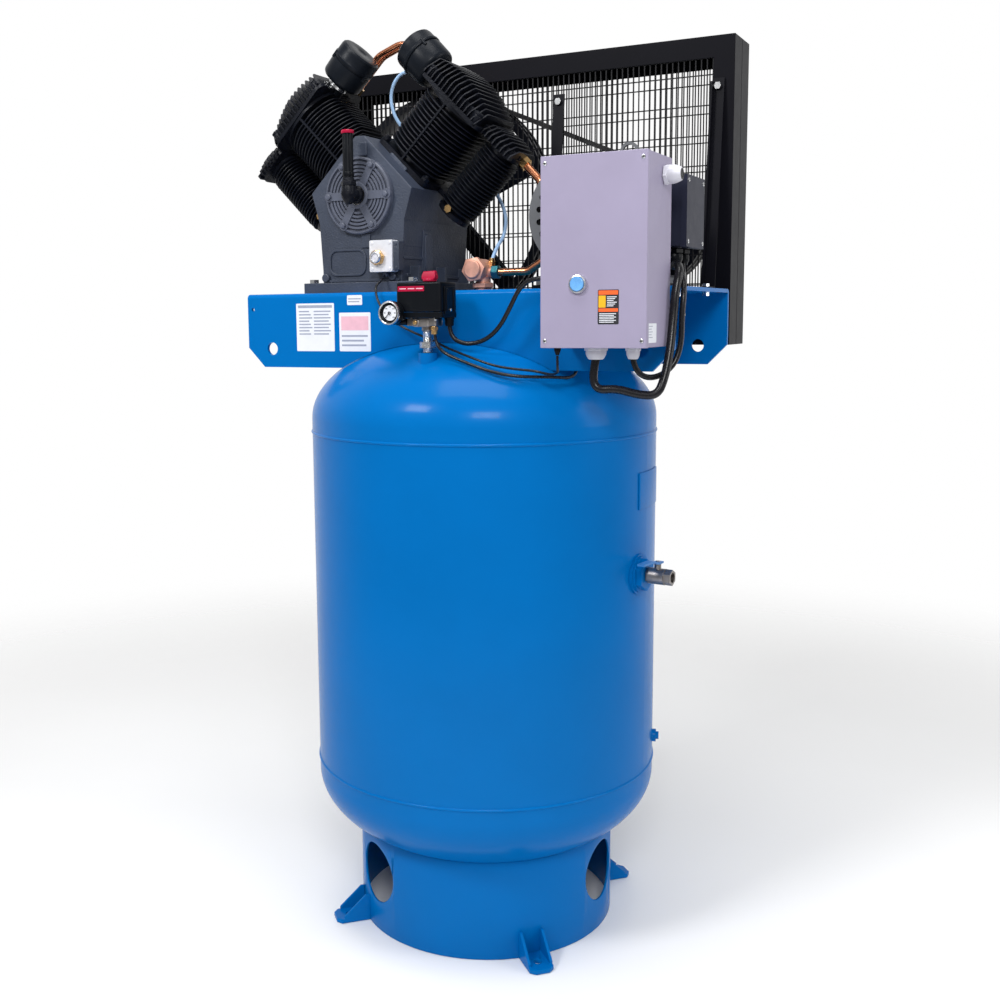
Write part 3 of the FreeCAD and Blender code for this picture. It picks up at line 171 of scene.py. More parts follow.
FINISHES = {
    "enamel": surface("blue_enamel", (0.0, 0.128, 0.410), 0.24, coat=0.04, specular=0.05, shade=0.05,
                      blotch=3, grain=160, bump=0.05, depth=0.0006, rough_spread=0.04),
    "casting": surface("black_casting", (0.004, 0.005, 0.009), 0.4, specular=0.16, shade=0.35, blotch=14,
                       grain=420, bump=0.35, depth=0.0006, pits=300, rough_spread=0.12),
    "crankcase": surface(
        "crankcase_paint", (0.034, 0.044, 0.07), 0.45, shade=0.25, blotch=10, grain=300, bump=0.4,
        depth=0.0008, pits=220, rough_spread=0.12),
    "cover": surface("cover_casting", (0.075, 0.085, 0.12), 0.45, shade=0.2, blotch=18, grain=500, bump=0.3,
                     depth=0.0005, pits=380),
    "guard": surface("guard_powder", (0.0035, 0.0035, 0.006), 0.42, specular=0.07, shade=0.15, blotch=5,
                     grain=1300, bump=0.12, rough_spread=0.06),
    "wire": surface(
        "guard_wire", (0.008, 0.008, 0.010), 0.45, specular=0.2, shade=0.2, blotch=20, grain=1600, bump=0.1),
    "box": surface("box_powder", (0.30, 0.270, 0.385), 0.5, specular=0.35, shade=0.04, blotch=8, grain=1500,
                   bump=0.25, depth=0.0003, pits=900, rough_spread=0.05),
    "motor": surface("motor_paint", (0.1, 0.105, 0.115), 0.45, shade=0.15, blotch=9, grain=500, bump=0.2,
                     depth=0.0005, pits=380),
    "conduit": surface("conduit_paint", (0.016, 0.018, 0.034), 0.42, specular=0.12, shade=0.12, blotch=9,
                       grain=700, bump=0.12, depth=0.0003),
    "steel": surface("machined_steel", (0.5, 0.5, 0.5), 0.32, metal=1.0, shade=0.12, blotch=20, grain=260,
                     bump=0.12, streak=(1, 1, 9)),
    "zinc": surface("zinc_plate", (0.68, 0.69, 0.7), 0.26, metal=1.0, shade=0.2, blotch=70, grain=800),
    "aluminium": surface(
        "cast_aluminium", (0.78, 0.79, 0.82), 0.34, metal=1.0, shade=0.1, blotch=60, grain=700, bump=0.15,
        depth=0.0003),
    "bright_paint": surface(
        "bright_block", (0.74, 0.75, 0.8), 0.35, metal=0.25, shade=0.06, blotch=60, grain=700, bump=0.12,
        depth=0.0003),
    "copper": surface("copper_tube", (0.64, 0.25, 0.13), 0.22, metal=1.0, shade=0.1, blotch=22, grain=500,
                      bump=0.02, depth=0.0001, rough_spread=0.04),
    "bronze": surface(
        "cast_bronze", (0.66, 0.34, 0.25), 0.5, metal=0.45, shade=0.22, bump=0.3, depth=0.0004, pits=600),
    "brass": surface("turned_brass", (0.72, 0.46, 0.2), 0.25, metal=1.0, shade=0.15, blotch=50, grain=600),
    "rubber": surface("belt_rubber", (0.014, 0.014, 0.015), 0.75, shade=0.25, blotch=30, grain=1100, bump=0.3,
                      depth=0.0003),
    "black_plastic": surface(
        "black_moulding", (0.004, 0.005, 0.007), 0.34, specular=0.12, shade=0.15, blotch=20, grain=1400,
        bump=0.12),
    "filter": surface("filter_moulding", (0.006, 0.008, 0.012), 0.36, specular=0.12, shade=0.15, blotch=14,
                      grain=1200, bump=0.1),
    "white_plastic": surface("gland_nylon", (0.62, 0.62, 0.68), 0.38, shade=0.05, blotch=30, bump=0.06),
    "red_plastic": surface("red_moulding", (0.37, 0.006, 0.038), 0.32, specular=0.15, shade=0.12),
    "blue_plastic": surface("blue_moulding", (0.13, 0.36, 0.72), 0.28, shade=0.08, blotch=60, bump=0.06),
    "blue_grip": surface("blue_vinyl", (0.02, 0.16, 0.45), 0.4, shade=0.15, bump=0.15, depth=0.0003),
    "jacket": surface(
        "cable_jacket", (0.007, 0.007, 0.009), 0.28, specular=0.3, shade=0.2, blotch=30, grain=1300),
    "pale_tube": surface("pale_nylon_tube", (0.36, 0.55, 0.82), 0.22, shade=0.08, blotch=25, bump=0.05),
    "verdigris": surface(
        "verdigris_brass", (0.05, 0.22, 0.27), 0.35, metal=0.8, shade=0.4, blotch=60, grain=700, bump=0.15,
        depth=0.0003),
    "iron": surface("outlet_steel", (0.3, 0.28, 0.27), 0.4, metal=1.0, shade=0.2, blotch=60, grain=700,
                    bump=0.25, depth=0.0003, pits=700),
}
# Each ink's colour, roughness, shade and blotch.
INKS = {"white": ((0.72, 0.74, 0.8), 0.4, 0.03, 40), "grey": ((0.3, 0.33, 0.42), 0.45, 0.1, 400),
        "black": ((0.02, 0.02, 0.025), 0.4, 0.1, 40), "orange": ((0.85, 0.12, 0.02), 0.4, 0.05, 40),
        "yellow": ((0.85, 0.42, 0.01), 0.4, 0.05, 40), "pink": ((0.72, 0.42, 0.5), 0.45, 0.06, 60)}
for ink_name, (ink_colour, ink_rough, ink_shade, ink_blotch) in INKS.items():
    FINISHES[f"label_{ink_name}"] = surface(f"label_{ink_name}", ink_colour, ink_rough, shade=ink_shade,
                                            blotch=ink_blotch, bump=0.03, depth=0.0001)


# ---------------- mesh helpers
def show(data, name, material, body="machine"):
    """A visible piece with its finish, riding its body in its slot."""
    item = linked(name, data)
    data.materials.append(FINISHES[material])
    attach(item, body)
    return item


def laid(u, v, height, axis):
    """A point from its two places across an axis and its height along it."""
    return {"z": (u, v, height), "y": (u, height, v), "x": (height, u, v)}[axis]


NUT_CHAMFER = 0.12


class Piece:
    """Collects closed forms in millimetres, each put in place by the current matrix."""

    def __init__(self, at=None):
        self.mesh = bmesh.new()
        self.at = at or Matrix()

    def skin(self, rings, closed=False):
        """Joins rings of points, each the same count, into one skin."""
        made = [[self.mesh.verts.new(self.at @ Vector(point)) for point in ring] for ring in rings]
        count = len(made[0])
        pairs = list(zip(made, made[1:]))
        if closed:
            pairs.append((made[-1], made[0]))
        for low, high in pairs:
            for step in range(count):
                after = (step + 1) % count
                self.mesh.faces.new((low[step], low[after], high[after], high[step]))
        if not closed:
            self.mesh.faces.new(list(reversed(made[0])))
            self.mesh.faces.new(made[-1])

    def plate(self, outline, low, high, axis="z"):
        """A flat plate from a 2D outline, between two heights along an axis."""
        self.skin([[laid(u, v, height, axis) for u, v in outline] for height in (low, high)])

    def box(self, x, y, z, corner=0.0, axis="z"):
        """A block between (low, high) pairs, its corners round the axis rounded."""
        spans = {"z": (x, y, z), "x": (y, z, x), "y": (x, z, y)}[axis]
        self.plate(rounded(spans[0], spans[1], corner), spans[2][0], spans[2][1], axis)

    def lathe(self, outline, centre=(0, 0, 0), axis="z", sides=48, closed=False, turn=0.0):
        """Turns (radius, height) pairs about an axis through the centre, the first corner at turn degrees."""
        rings = []
        for radius, height in outline:
            ring = []
            for step in range(sides):
                angle = 2 * pi * step / sides + radians(turn)
                point = laid(radius * cos(angle), radius * sin(angle), height, axis)
                ring.append([value + middle for value, middle in zip(point, centre)])
            rings.append(ring)
        self.skin(rings, closed=closed)

    def turned(self, outline, centre=(0, 0, 0), axis="z", sides=48):
        """A solid turned piece: the outline's two ends are closed by flat faces, out from the axis."""
        self.lathe([(0, outline[0][1]), *outline, (0, outline[-1][1])], centre, axis, sides)

    def hexagon(self, radius, low, high, centre=(0, 0, 0), axis="z", turn=0.0):
        """A nut or bolt head with chamfered corners, radius to its corners."""
        trim = NUT_CHAMFER * radius
        self.lathe([(radius - trim, low), (radius, low + trim / 2), (radius, high - trim / 2),
                    (radius - trim, high)], centre, axis, 6, turn=turn)

    def done(self, name, material, body="machine", slot=None, bevel=0.0, segments=2, smooth=35):
        """Makes the object: bevel in millimetres, smooth in degrees."""
        bmesh.ops.transform(self.mesh, matrix=Matrix.Scale(MM, 4), verts=self.mesh.verts)
        bmesh.ops.recalc_face_normals(self.mesh, faces=self.mesh.faces)
        data = bpy.data.meshes.new(name)
        self.mesh.to_mesh(data)
        self.mesh.free()
        item = show(data, name, material, body)
        if bevel:
            add_bevel(item, bevel, segments)
        soften(item, smooth)
        return item


def rounded(u, v, corner=0.0, steps=4):
    """A rectangle's outline with rounded corners."""
    (u0, u1), (v0, v1) = sorted(u), sorted(v)
    if not corner:
        return [(u0, v0), (u1, v0), (u1, v1), (u0, v1)]
    corner = min(corner, (u1 - u0) / 2.01, (v1 - v0) / 2.01)
    points = []
    for cu, cv, start in ((u1 - corner, v0 + corner, -90), (u1 - corner, v1 - corner, 0),
                          (u0 + corner, v1 - corner, 90), (u0 + corner, v0 + corner, 180)):
        for step in range(steps + 1):
            angle = radians(start + 90 * step / steps)
            points.append((cu + corner * cos(angle), cv + corner * sin(angle)))
    return points


WELD_REACH = 0.00001


def add_bevel(item, width, segments=2, angle=40):
    """Rounds the edges sharper than the angle."""
    bevel = item.modifiers.new("edges", "BEVEL")
    bevel.width = width * MM
    bevel.segments = segments
    bevel.limit_method = "ANGLE"
    bevel.angle_limit = radians(angle)


def soften(item, degrees):
    """Smooth shading, with sharp edges kept above the angle."""
    for face in item.data.polygons:
        face.use_smooth = True
    item.data.set_sharp_from_angle(angle=radians(degrees))


def finish_node(name, material, bevel):
    """A CAD node kept as it is, with a finish and, where asked, softened edges."""
    item = NODES[name]
    for place in item.material_slots:
        place.material = FINISHES[material]
    if bevel:
        weld = item.modifiers.new("weld", "WELD")
        weld.merge_threshold = WELD_REACH
        add_bevel(item, bevel, angle=50)


# ---------------- cords and tubes
def cord(name, node, points, radius, material):
    """A cable or tube on its given points, in millimetres, from one fitting to the other."""
    data = bpy.data.curves.new(name, "CURVE")
    data.dimensions = "3D"
    line = data.splines.new("NURBS")
    line.points.add(len(points) - 1)
    for spot, point in zip(line.points, points):
        spot.co = (*(value * MM for value in point), 1)
    line.order_u = 3
    line.use_endpoint_u = True
    line.resolution_u = 12
    data.bevel_depth = radius * MM
    data.bevel_resolution = 5
    data.use_fill_caps = True
    item = show(data, name, material)
    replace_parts(item, node)
    return item


cord("motor_lead", "motor_cable",
     [(366, -265, 1272), (358, -265, 1238), (368, -264, 1212), (404, -261, 1216), (450, -257, 1204),
      (482, -251, 1204), (492, -241, 1234), (497, -226, 1282), (497.5, -210, 1344), (500, -206, 1398),
      (504, -192, 1436), (488, -160, 1450), (468, -122, 1444), (464, -100, 1456), (464, -100, 1478)],
     8, "jacket")
cord("control_lead", "control_cable",
     [(439, -265, 1272), (443, -265, 1252), (460, -256, 1236), (480, -230, 1238), (502, -210, 1260),
      (511, -200, 1300), (511, -200, 1350), (513, -195, 1396), (504, -170, 1423), (488, -120, 1437),
      (474, -80, 1446), (470, -62, 1458), (470, -62, 1478)],
     5.5, "jacket")
cord("switch_lead", "switch_cable",
     [(50, -256, 1340), (51, -256, 1314), (80, -251, 1297), (122, -248, 1303), (156, -249, 1328),
      (182, -253, 1368), (204, -258, 1406), (232, -264, 1424), (264, -265, 1424)],
     4.5, "jacket")
cord("unloader_line", "unloader_tube",
     [(30, -282, 1326), (31, -282, 1302), (50, -282, 1281), (86, -285, 1268), (124, -290, 1256),
      (164, -290, 1244), (202, -280, 1237), (236, -258, 1235), (266, -228, 1234), (288, -190, 1230),
      (286, -150, 1250), (262, -116, 1277), (224, -88, 1305), (176, -62, 1332), (120, -40, 1354),
      (68, -14, 1370), (24, 0, 1372)],
     3.25, "jacket")
cord("oil_lead", "oil_switch_wire",
     [(-159, -150, 1446), (-160, -168, 1430), (-154, -203, 1420), (-143, -216, 1390), (-118, -221, 1358),
      (-80, -225, 1334), (-36, -231, 1317), (6, -240, 1304), (44, -258, 1291), (86, -271, 1279),
      (128, -279, 1266), (168, -280, 1255), (206, -272, 1250), (240, -262, 1247), (274, -270, 1240),
      (300, -292, 1244), (302, -300, 1260), (302, -300, 1278)],
     2.5, "jacket")
cord("pilot_line", "pilot_tube",
     [(-122, 48, 1851), (-146, 50, 1876), (-186, 50, 1906), (-232, 50, 1906), (-258, 50, 1868),
      (-256, 54, 1822), (-238, 72, 1782), (-208, 106, 1762), (-150, 130, 1738), (-90, 136, 1694),
      (-30, 126, 1640), (14, 94, 1584), (28, 54, 1530), (21, 24, 1504), (16, 12, 1474)],
     4, "pale_tube")


# ---------------- CAD nodes
# The nodes of each finish; later pieces replace some of them.
PLAIN = {
    "enamel": "tank_shell tank_top_head tank_bottom_head skirt anchor_feet tank_bungs "
              "data_plate deck_platform",
    "casting": "cylinder_left cylinder_right barrel_left barrel_right head_left head_right "
               "flywheel motor_sheave",
    "crankcase": "crankcase rear_bearing_housing",
    "cover": "front_cover",
    "filter": "intake_filters breather",
    "aluminium": "pistons oil_level_switch",
    "brass": "pump_fittings safety_valve",
    "steel": "crankshaft motor_rotor valve_ball safety_valve_ring pressure_gauge",
    "iron": "ball_valve_body",
    "blue_grip": "valve_lever",
    "motor": "motor_frame motor_fan_cowl",
    "conduit": "conduit_box",
    "rubber": "drive_belts",
    "guard": "guard_front_frame guard_rear_frame guard_braces motor_slide_base",
    "wire": "guard_front_mesh guard_rear_mesh",
    "box": "control_box control_box_lid",
    "blue_plastic": "reset_button",
    "white_plastic": "cable_glands",
    "black_plastic": "pressure_switch gauge_needle",
    "red_plastic": "switch_knob",
    "zinc": "switch_manifold hex_bolts cover_screws",
    "bronze": "check_valve",
    "copper": "copper_tubes",
}
# How far the edges of a node are rounded, in millimetres.
EDGES = {
    "anchor_feet": 1.5, "skirt": 1.0, "crankcase": 4.0, "control_box": 1.0, "control_box_lid": 1.2,
    "conduit_box": 2.0, "motor_frame": 1.0, "guard_front_frame": 1.2, "guard_rear_frame": 1.2,
    "guard_braces": 1.0, "flywheel": 1.5, "data_plate": 1.0, "pressure_switch": 1.5}
for material_name, words in PLAIN.items():
    for word in words.split():
        finish_node(word, material_name, EDGES.get(word, 0.0))


# ---------------- pump
CRANK_X, _, CRANK_Z = joint_place("crank_spin")
BANK_ANGLE = 45
CASE_BOSS, COVER_THICK = 16, 14
CASE_FRONT = 1000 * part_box("crankcase")[0].y + CASE_BOSS
COVER_FACE = CASE_FRONT - COVER_THICK
CYLINDER_FINS, CYLINDER_PITCH, CYLINDER_FIN_LOW = 14, 9.6, 122
BARREL_FINS, BARREL_PITCH, BARREL_FIN_LOW = 18, 8.6, 104
BARREL_OFFSET = 138
HEAD_FINS, WING_FINS, HEAD_PITCH = 15, 8, 12
COPPER_RADIUS = 6.35


def tilted(side):
    """The frame of a bank, its Z along the cylinder, from the crank's axis."""
    turn = Matrix.Rotation(radians(BANK_ANGLE * side), 4, "Y")
    return Matrix.Translation((CRANK_X, 0, CRANK_Z)) @ turn


def across(side, u):
    """A place across the bank, positive towards the middle of the pump."""
    return u if side < 0 else -u


def spread(side, low, high):
    """A span across the bank, from its lower to its higher end."""
    return sorted((across(side, low), across(side, high)))


def fin_outline(wide, low, high, shoulder, drop, corner=6):
    """An upright fin's outline: straight sides, sloped shoulders, rounded where they meet."""
    half = [(wide, high - drop), (wide - corner * 0.5, high - drop + corner), (wide - shoulder, high - 1.5),
            (wide - shoulder - corner, high)]
    return [(-wide, low), (wide, low), *half, *((-u, v) for u, v in reversed(half))]


def clipped(reach, deep, radius, sides=80):
    """A fin's outline: a circle cut flat where it would pass the bank's sides."""
    points = []
    for step in range(sides):
        angle = 2 * pi * (step + 0.5) / sides
        far = min(radius, reach / max(abs(cos(angle)), 0.01), deep / max(abs(sin(angle)), 0.01))
        points.append((far * cos(angle), far * sin(angle)))
    return points


def cylinder(side, word):
    """A finned cylinder on its foot flange, with ribs joining the fins and four foot nuts."""
    piece = Piece(tilted(side))
    piece.plate(rounded((-78, 78), (-84, 84), 16), 98, 110)
    piece.lathe([(66, 110), (62, 118), (62, 268), (52, 268), (52, 110)], closed=True, sides=64)
    for step in range(CYLINDER_FINS):
        low = CYLINDER_FIN_LOW + CYLINDER_PITCH * step
        reach = 80 if step > 2 else 71 + 3 * step
        inner, outer = clipped(reach - 0.9, 87.2, 89.0), clipped(reach, 88, 89.8)
        layers = ((inner, low), (outer, low + 0.9), (outer, low + 2.3), (inner, low + 3.2))
        piece.skin([[(u, v, height) for u, v in outline] for outline, height in layers])
    piece.plate(clipped(80, 88, 89.8), 261, 268)
    for sign in (-1, 1):
        piece.box((-2.2, 2.2), sorted((sign * 78, sign * 89.4)), (110, 262))
        for u in (-66, 66):
            piece.turned([(5, 104), (5, 121), (4, 122)], (u, sign * 72, 0), sides=20)
            piece.hexagon(10, 110, 118, (u, sign * 72, 0))
    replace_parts(piece.done(f"finned_cylinder_{word}", "casting"), f"cylinder_{word}")


def barrel(side, word):
    """The small finned barrel beside a cylinder."""
    piece = Piece(tilted(side))
    middle = BARREL_OFFSET * side
    piece.lathe([(24, 96), (40, 84), (40, 94), (30, 97), (30, 258), (40, 261), (40, 268), (24, 268)],
                (middle, 0, 0), closed=True)
    for step in range(BARREL_FINS):
        low = BARREL_FIN_LOW + BARREL_PITCH * step
        reach = 46 - 1.2 * (step < 2) - 0.8 * (step == 17)
        piece.lathe([(29, low - 0.8), (reach - 1, low), (reach, low + 0.8), (reach, low + 2.0),
                     (reach - 1, low + 2.8), (29, low + 3.6)], (middle, 0, 0))
    for turn in (90, 210, 330):
        spoke = radians(turn)
        u, v = middle + 35 * cos(spoke), 35 * sin(spoke)
        piece.hexagon(6.5, 88, 94, (u, v, 0), turn=turn)
    piece.box(spread(side, -105, -79), (-16, 16), (99, 110), 4)
    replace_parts(piece.done(f"finned_barrel_{word}", "casting"), f"barrel_{word}")


def head(side, word):
    """A finned head over the cylinder, with a wing over the barrel and end fins."""
    piece = Piece(tilted(side))
    piece.plate(rounded(spread(side, -92, 90), (-90, 90), 18, 6), 268.3, 277)
    piece.plate(rounded(spread(side, -186, -84), (-58, 58), 26, 6), 268.4, 276.5)
    piece.box(spread(side, -84, 88), (-82, 82), (277, 298), 16)
    piece.box(spread(side, -180, -80), (-52, 52), (276, 286), 14)
    for step in range(HEAD_FINS):
        left = -84 + HEAD_PITCH * step
        crown = 330 - 0.55 * abs(step - 8) ** 1.8
        slope = 24 + 1.2 * abs(step - 7)
        piece.plate(fin_outline(92 - 0.25 * abs(step - 7), 277, crown, 24, slope),
                    *spread(side, left, left + 3.2), "x")
    for step in range(WING_FINS):
        left = -182 + HEAD_PITCH * step
        crown = 290 + 10 * sin(pi * (step + 1.5) / 10)
        wide = 60 + 9 * sin(pi * (step + 1) / 10)
        piece.plate(fin_outline(wide, 268.6, crown, 22, 18, 4), *spread(side, left, left + 3.6), "x")
    for v in (-44, -22, 0, 22, 44):
        edge = -187.5 + 0.006 * v * v
        piece.plate([(across(side, u), w) for u, w in ((edge, 270), (edge, 284), (edge + 5, 289), (-178, 289),
                                                       (-178, 270))], v - 1.8, v + 1.8, "y")
    for u in (-72, 76):
        for v in (-76, 76):
            piece.turned([(10, 277), (10, 292), (8, 294)], (across(side, u), v, 0), sides=24)
            piece.hexagon(10, 294, 300, (across(side, u), v, 0), turn=u)
    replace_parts(piece.done(f"finned_head_{word}", "casting", bevel=0.9), f"head_{word}")


def filters():
    """Intake canisters: a deep pan, a stepped lip all round and a smooth cap, and their clamps."""
    for side, word in ((-1, "left"), (1, "right")):
        sign = -side
        pan = [(0, 20), (20, 20), (20, 96), (24, 100), (34, 101), (42, 103), (46, 107), (47.5, 112),
               (48.5, 140), (48.5, 148), (46.5, 149), (46.5, 151.5), (49.5, 152), (50, 153), (50, 158),
               (49, 159.5), (48.4, 160.5), (48.2, 178), (47, 183), (43, 186.6), (36, 187.6), (12, 187.2),
               (10, 186), (0, 185.6)]
        piece = Piece(tilted(side))
        piece.lathe([(radius, sign * height) for radius, height in pan], (0, -10, 280), "x", 72)
        for turn in (20, 140, 260):
            angle = radians(turn)
            v, w = -10 + 48 * cos(angle), 280 + 48 * sin(angle)
            piece.box((sign * 143, sign * 160), (v - 4, v + 4), (w - 3, w + 3), 1.5, "x")
        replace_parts(piece.done(f"intake_canister_{word}", "filter", smooth=32), "intake_filters")
        clamp = Piece(tilted(side))
        clamp.lathe([(20.2, sign * 90), (22.5, sign * 90), (22.5, sign * 97), (20.2, sign * 97)],
                    (0, -10, 280), "x", 40, closed=True)
        clamp.box((sign * 89.5, sign * 97.5), (-14, -6), (300, 310), 1, "x")
        clamp.done(f"intake_clamp_{word}", "zinc", bevel=0.4)


def cover():
    """Bearing cover with raised rim, ring grooves between six flat spokes, and its bolts."""
    outline = [(82, 14), (82, 2.5), (80, 0.2), (77, 0), (75.5, 6)]
    for ring in (69, 61, 53, 45, 37):
        outline += [(ring + 2.8, 6), (ring + 2.3, 1.2), (ring - 2.3, 1.2), (ring - 2.8, 6)]
    outline += [(29, 6), (28, -2), (26, -3), (20.2, -3), (20.2, 14)]
    piece = Piece()
    piece.lathe([(radius, COVER_FACE + height) for radius, height in outline], (CRANK_X, 0, CRANK_Z), "y", 96,
                closed=True)
    for step in range(6):
        angle = radians(60 * step)
        piece.at = Matrix.Translation((CRANK_X, COVER_FACE, CRANK_Z)) @ Matrix.Rotation(-angle, 4, "Y")
        piece.plate([(24, -9), (66, -8.5), (70, -11), (79, -10), (79, 10), (70, 11), (66, 8.5), (24, 9)],
                    -1.2, 6, "y")
        piece.turned([(11, -1), (11.5, 3), (11.5, 6)], (72, 0, 0), "y", 24)
        piece.hexagon(6.6, -6.5, -1, (72, 0, 0), "y", turn=17 * step)
        piece.turned([(4, -7.2), (4.8, -6.4), (4.8, -6)], (72, 0, 0), "y", 16)
    piece.at = Matrix()
    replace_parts(piece.done("bearing_cover", "cover", bevel=0.8), "front_cover")


def bent(points, radius, steps=8):
    """A tube's line, in millimetres, with its corners rounded to one bend radius."""
    line = [Vector(points[0])]
    for before, corner, after in zip(points, points[1:], points[2:]):
        here = Vector(corner)
        back, ahead = (Vector(before) - here).normalized(), (Vector(after) - here).normalized()
        half = back.angle(ahead) / 2
        centre = here + (back + ahead).normalized() * radius / sin(half)
        start = (here + back * radius / tan(half) - centre).normalized()
        end = (here + ahead * radius / tan(half) - centre).normalized()
        line += [centre + start.slerp(end, step / steps) * radius for step in range(steps + 1)]
    return line + [Vector(points[-1])]


def copper_runs():
    over = [(-356, 1885), (-290, 1950), (-229, 1972), (-168, 1950), (-102, 1885)]
    down = [(103, 0, 1674), (134, 0, 1642), (158, 0, 1592), (160, 0, 1530), (150, 0, 1474), (108, 0, 1449),
            (38, 0, 1449)]
    runs = [("copper_discharge", bent(down, 28), COPPER_RADIUS + 2)]
    for y, word in ((54, "front"), (76, "rear")):
        runs.append((f"copper_crossover_{word}", bent([(x, y, z) for x, z in over], 48), COPPER_RADIUS))
    flat = Vector((0, 1, 0))
    for name, line, radius in runs:
        rings = []
        for before, here, after in zip([line[0]] + line, line, line[1:] + [line[-1]]):
            aside = (after - before).normalized().cross(flat)
            rings.append([here + radius * (flat * cos(turn) + aside * sin(turn))
                          for turn in (radians(15 * step) for step in range(24))])
        piece = Piece()
        piece.skin(rings)
        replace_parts(piece.done(name, "copper", smooth=60), "copper_tubes")


def casting_details():
    """Raised work on the crankcase: sump panel, lugs, flank boss, rib band, bank flanges and a plug block."""
    front, left, right = CASE_FRONT, CRANK_X - 100, CRANK_X + 100
    piece = Piece()
    outer = rounded((left + 16, CRANK_X + 12), (1444, 1503), 20, 6)
    inner = rounded((left + 21, CRANK_X + 7), (1449, 1498), 16, 6)
    levels = ((outer, front - 3.5), (outer, front + 1), (inner, front + 1), (inner, front - 3.5))
    piece.skin([[(u, y, w) for u, w in outline] for outline, y in levels], closed=True)
    for x in (left + 9, right - 20):
        piece.turned([(8, front - 9), (9.5, front - 7.5), (9.5, front + 2)], (x, 0, 1441), "y", 28)
    piece.box((left + 4, right - 4), (front - 4, front + 1), (1431, 1437), 2, "y")
    piece.box((CRANK_X + 2, CRANK_X + 24), (front - 4, front + 1), (1504, 1534), 3, "y")
    piece.box((CRANK_X - 2, CRANK_X + 20), (front - 6, front + 6), (CRANK_Z + 84, CRANK_Z + 112), 3, "y")
    for level in (1481, 1508):
        piece.box((right - 2, right + 5), (front + 3, -40), (level - 3, level + 3), 2, "x")
    piece.box((right - 2, right + 11), (-45, -12), (1452, 1536), 12, "x")
    piece.box((right - 2, right + 6), (front + 1, 150), (1584, 1592), 3, "x")
    for low, high in ((1440, 1448), (1560, 1566)):
        piece.box((right - 2, right + 3), (front + 20, 140), (low, high), 2, "x")
    for side in (-1, 1):
        piece.at = tilted(side)
        piece.box((-80, 80), (-86, 86), (92, 98), 10)
        piece.box((-30, 24), (-89, -83), (93, 104), 3, "y")
    piece.at = Matrix()
    piece.done("crankcase_ribs", "crankcase", bevel=1.0)


def breather():
    """Oil breather: a cast elbow off the cover, a ribbed tube and a thin red cap."""
    y = COVER_FACE - 8 - 26
    riser_at = (CRANK_X, y, CRANK_Z)
    base = Piece()
    base.lathe(
        [(0, y - 15), (9, y - 14), (13, y - 10), (14.5, y - 4), (14.5, COVER_FACE - 12),
         (18, COVER_FACE - 11), (18, COVER_FACE - 3), (0, COVER_FACE - 3)], (CRANK_X, 0, CRANK_Z), "y", 36)
    base.lathe(
        [(0, -22), (6, -21), (12, -15), (15, -8), (15, 14), (13, 20), (13, 32), (11, 34), (0, 34)], riser_at)
    base.hexagon(17, 17, 27, riser_at, turn=20)
    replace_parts(base.done("breather_elbow", "casting", slot="dark_crankcase", bevel=0.8), "breather")
    tube = Piece()
    ring = []
    for step in range(48):
        angle = 2 * pi * step / 48
        reach = 11.4 if step % 6 else 10.2
        ring.append((CRANK_X + reach * cos(angle), y + reach * sin(angle)))
    tube.plate(ring, CRANK_Z + 30, CRANK_Z + 126)
    tube.turned([(12.2, 38), (12.6, 40), (12.6, 44), (12.2, 46)], riser_at)
    tube.done("breather_tube", "black_plastic", bevel=0.3)
    cap = Piece()
    cap.lathe([(0, 126), (13.5, 126), (14, 127), (14, 131), (12.5, 133), (0, 133.6)], riser_at)
    cap.done("breather_cap", "red_plastic")


def oil_switch():
    """Low-oil switch: a bright block, its dark terminal side and a sight plug in a brass hexagon."""
    front = CASE_FRONT - 30
    sight = (CRANK_X + 60, front, 1480)
    block = Piece()
    block.box((CRANK_X + 38, CRANK_X + 94), (front, CASE_FRONT - 4), (1450, 1517), 2.5, "y")
    for along, level in ((44, 1456), (44, 1511), (88, 1456), (88, 1511)):
        block.turned([(3.2, -1.2), (3.8, -0.6), (3.8, 2)], (CRANK_X + along, front, level), "y", 20)
    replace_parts(block.done("oil_switch_block", "bright_paint", bevel=1.0), "oil_level_switch")
    side = Piece()
    side.box((CRANK_X + 94, CRANK_X + 108), (front + 5, CASE_FRONT - 5), (1453, 1514), 2, "x")
    for level in (1459, 1508):
        side.turned([(3, 3.6), (3, 6)], (CRANK_X + 101, front, level), "y", 16)
    side.turned([(5, 1440), (5.5, 1442), (5.5, 1452)], (CRANK_X + 70, CASE_FRONT - 16, 0), sides=24)
    side.done("oil_switch_terminals", "crankcase", bevel=0.8)
    stub = Piece()
    stub.turned([(9, 25), (9, 29.7)], sight, "y", 24)
    stub.lathe([(8.5, -16), (11, -16), (13, -13), (13, -6), (8.5, -6)], sight, "y", 40, closed=True)
    stub.done("oil_switch_stub", "aluminium", bevel=0.4)
    brass = Piece()
    brass.hexagon(17, -8, 0, sight, "y", turn=10)
    brass.lathe([(12.5, -12), (15, -11), (15, -8), (12.5, -8)], sight, "y", 40, closed=True)
    brass.done("oil_sight_plug", "brass", bevel=0.5)
    lens = Piece()
    lens.turned([(3, -13.5), (4, -13), (8.6, -13), (8.6, -7)], sight, "y", 32)
    lens.done("oil_sight_lens", "white_plastic", bevel=0.3)


for bank_side, bank_word in ((-1, "left"), (1, "right")):
    cylinder(bank_side, bank_word)
    barrel(bank_side, bank_word)
    head(bank_side, bank_word)
filters()
cover()
copper_runs()
casting_details()
breather()
oil_switch()


# ---------------- controls
LID_FACE = -337


def screw(piece, centre, axis, out, radius=4.0):
    """A screw's round head, standing out along an axis; out is +1 or -1."""
    outline = [(radius, 0), (radius, out * 0.9), (radius * 0.7, out * 2.1), (radius * 0.3, out * 2.35)]
    piece.turned(outline, centre, axis, 28)


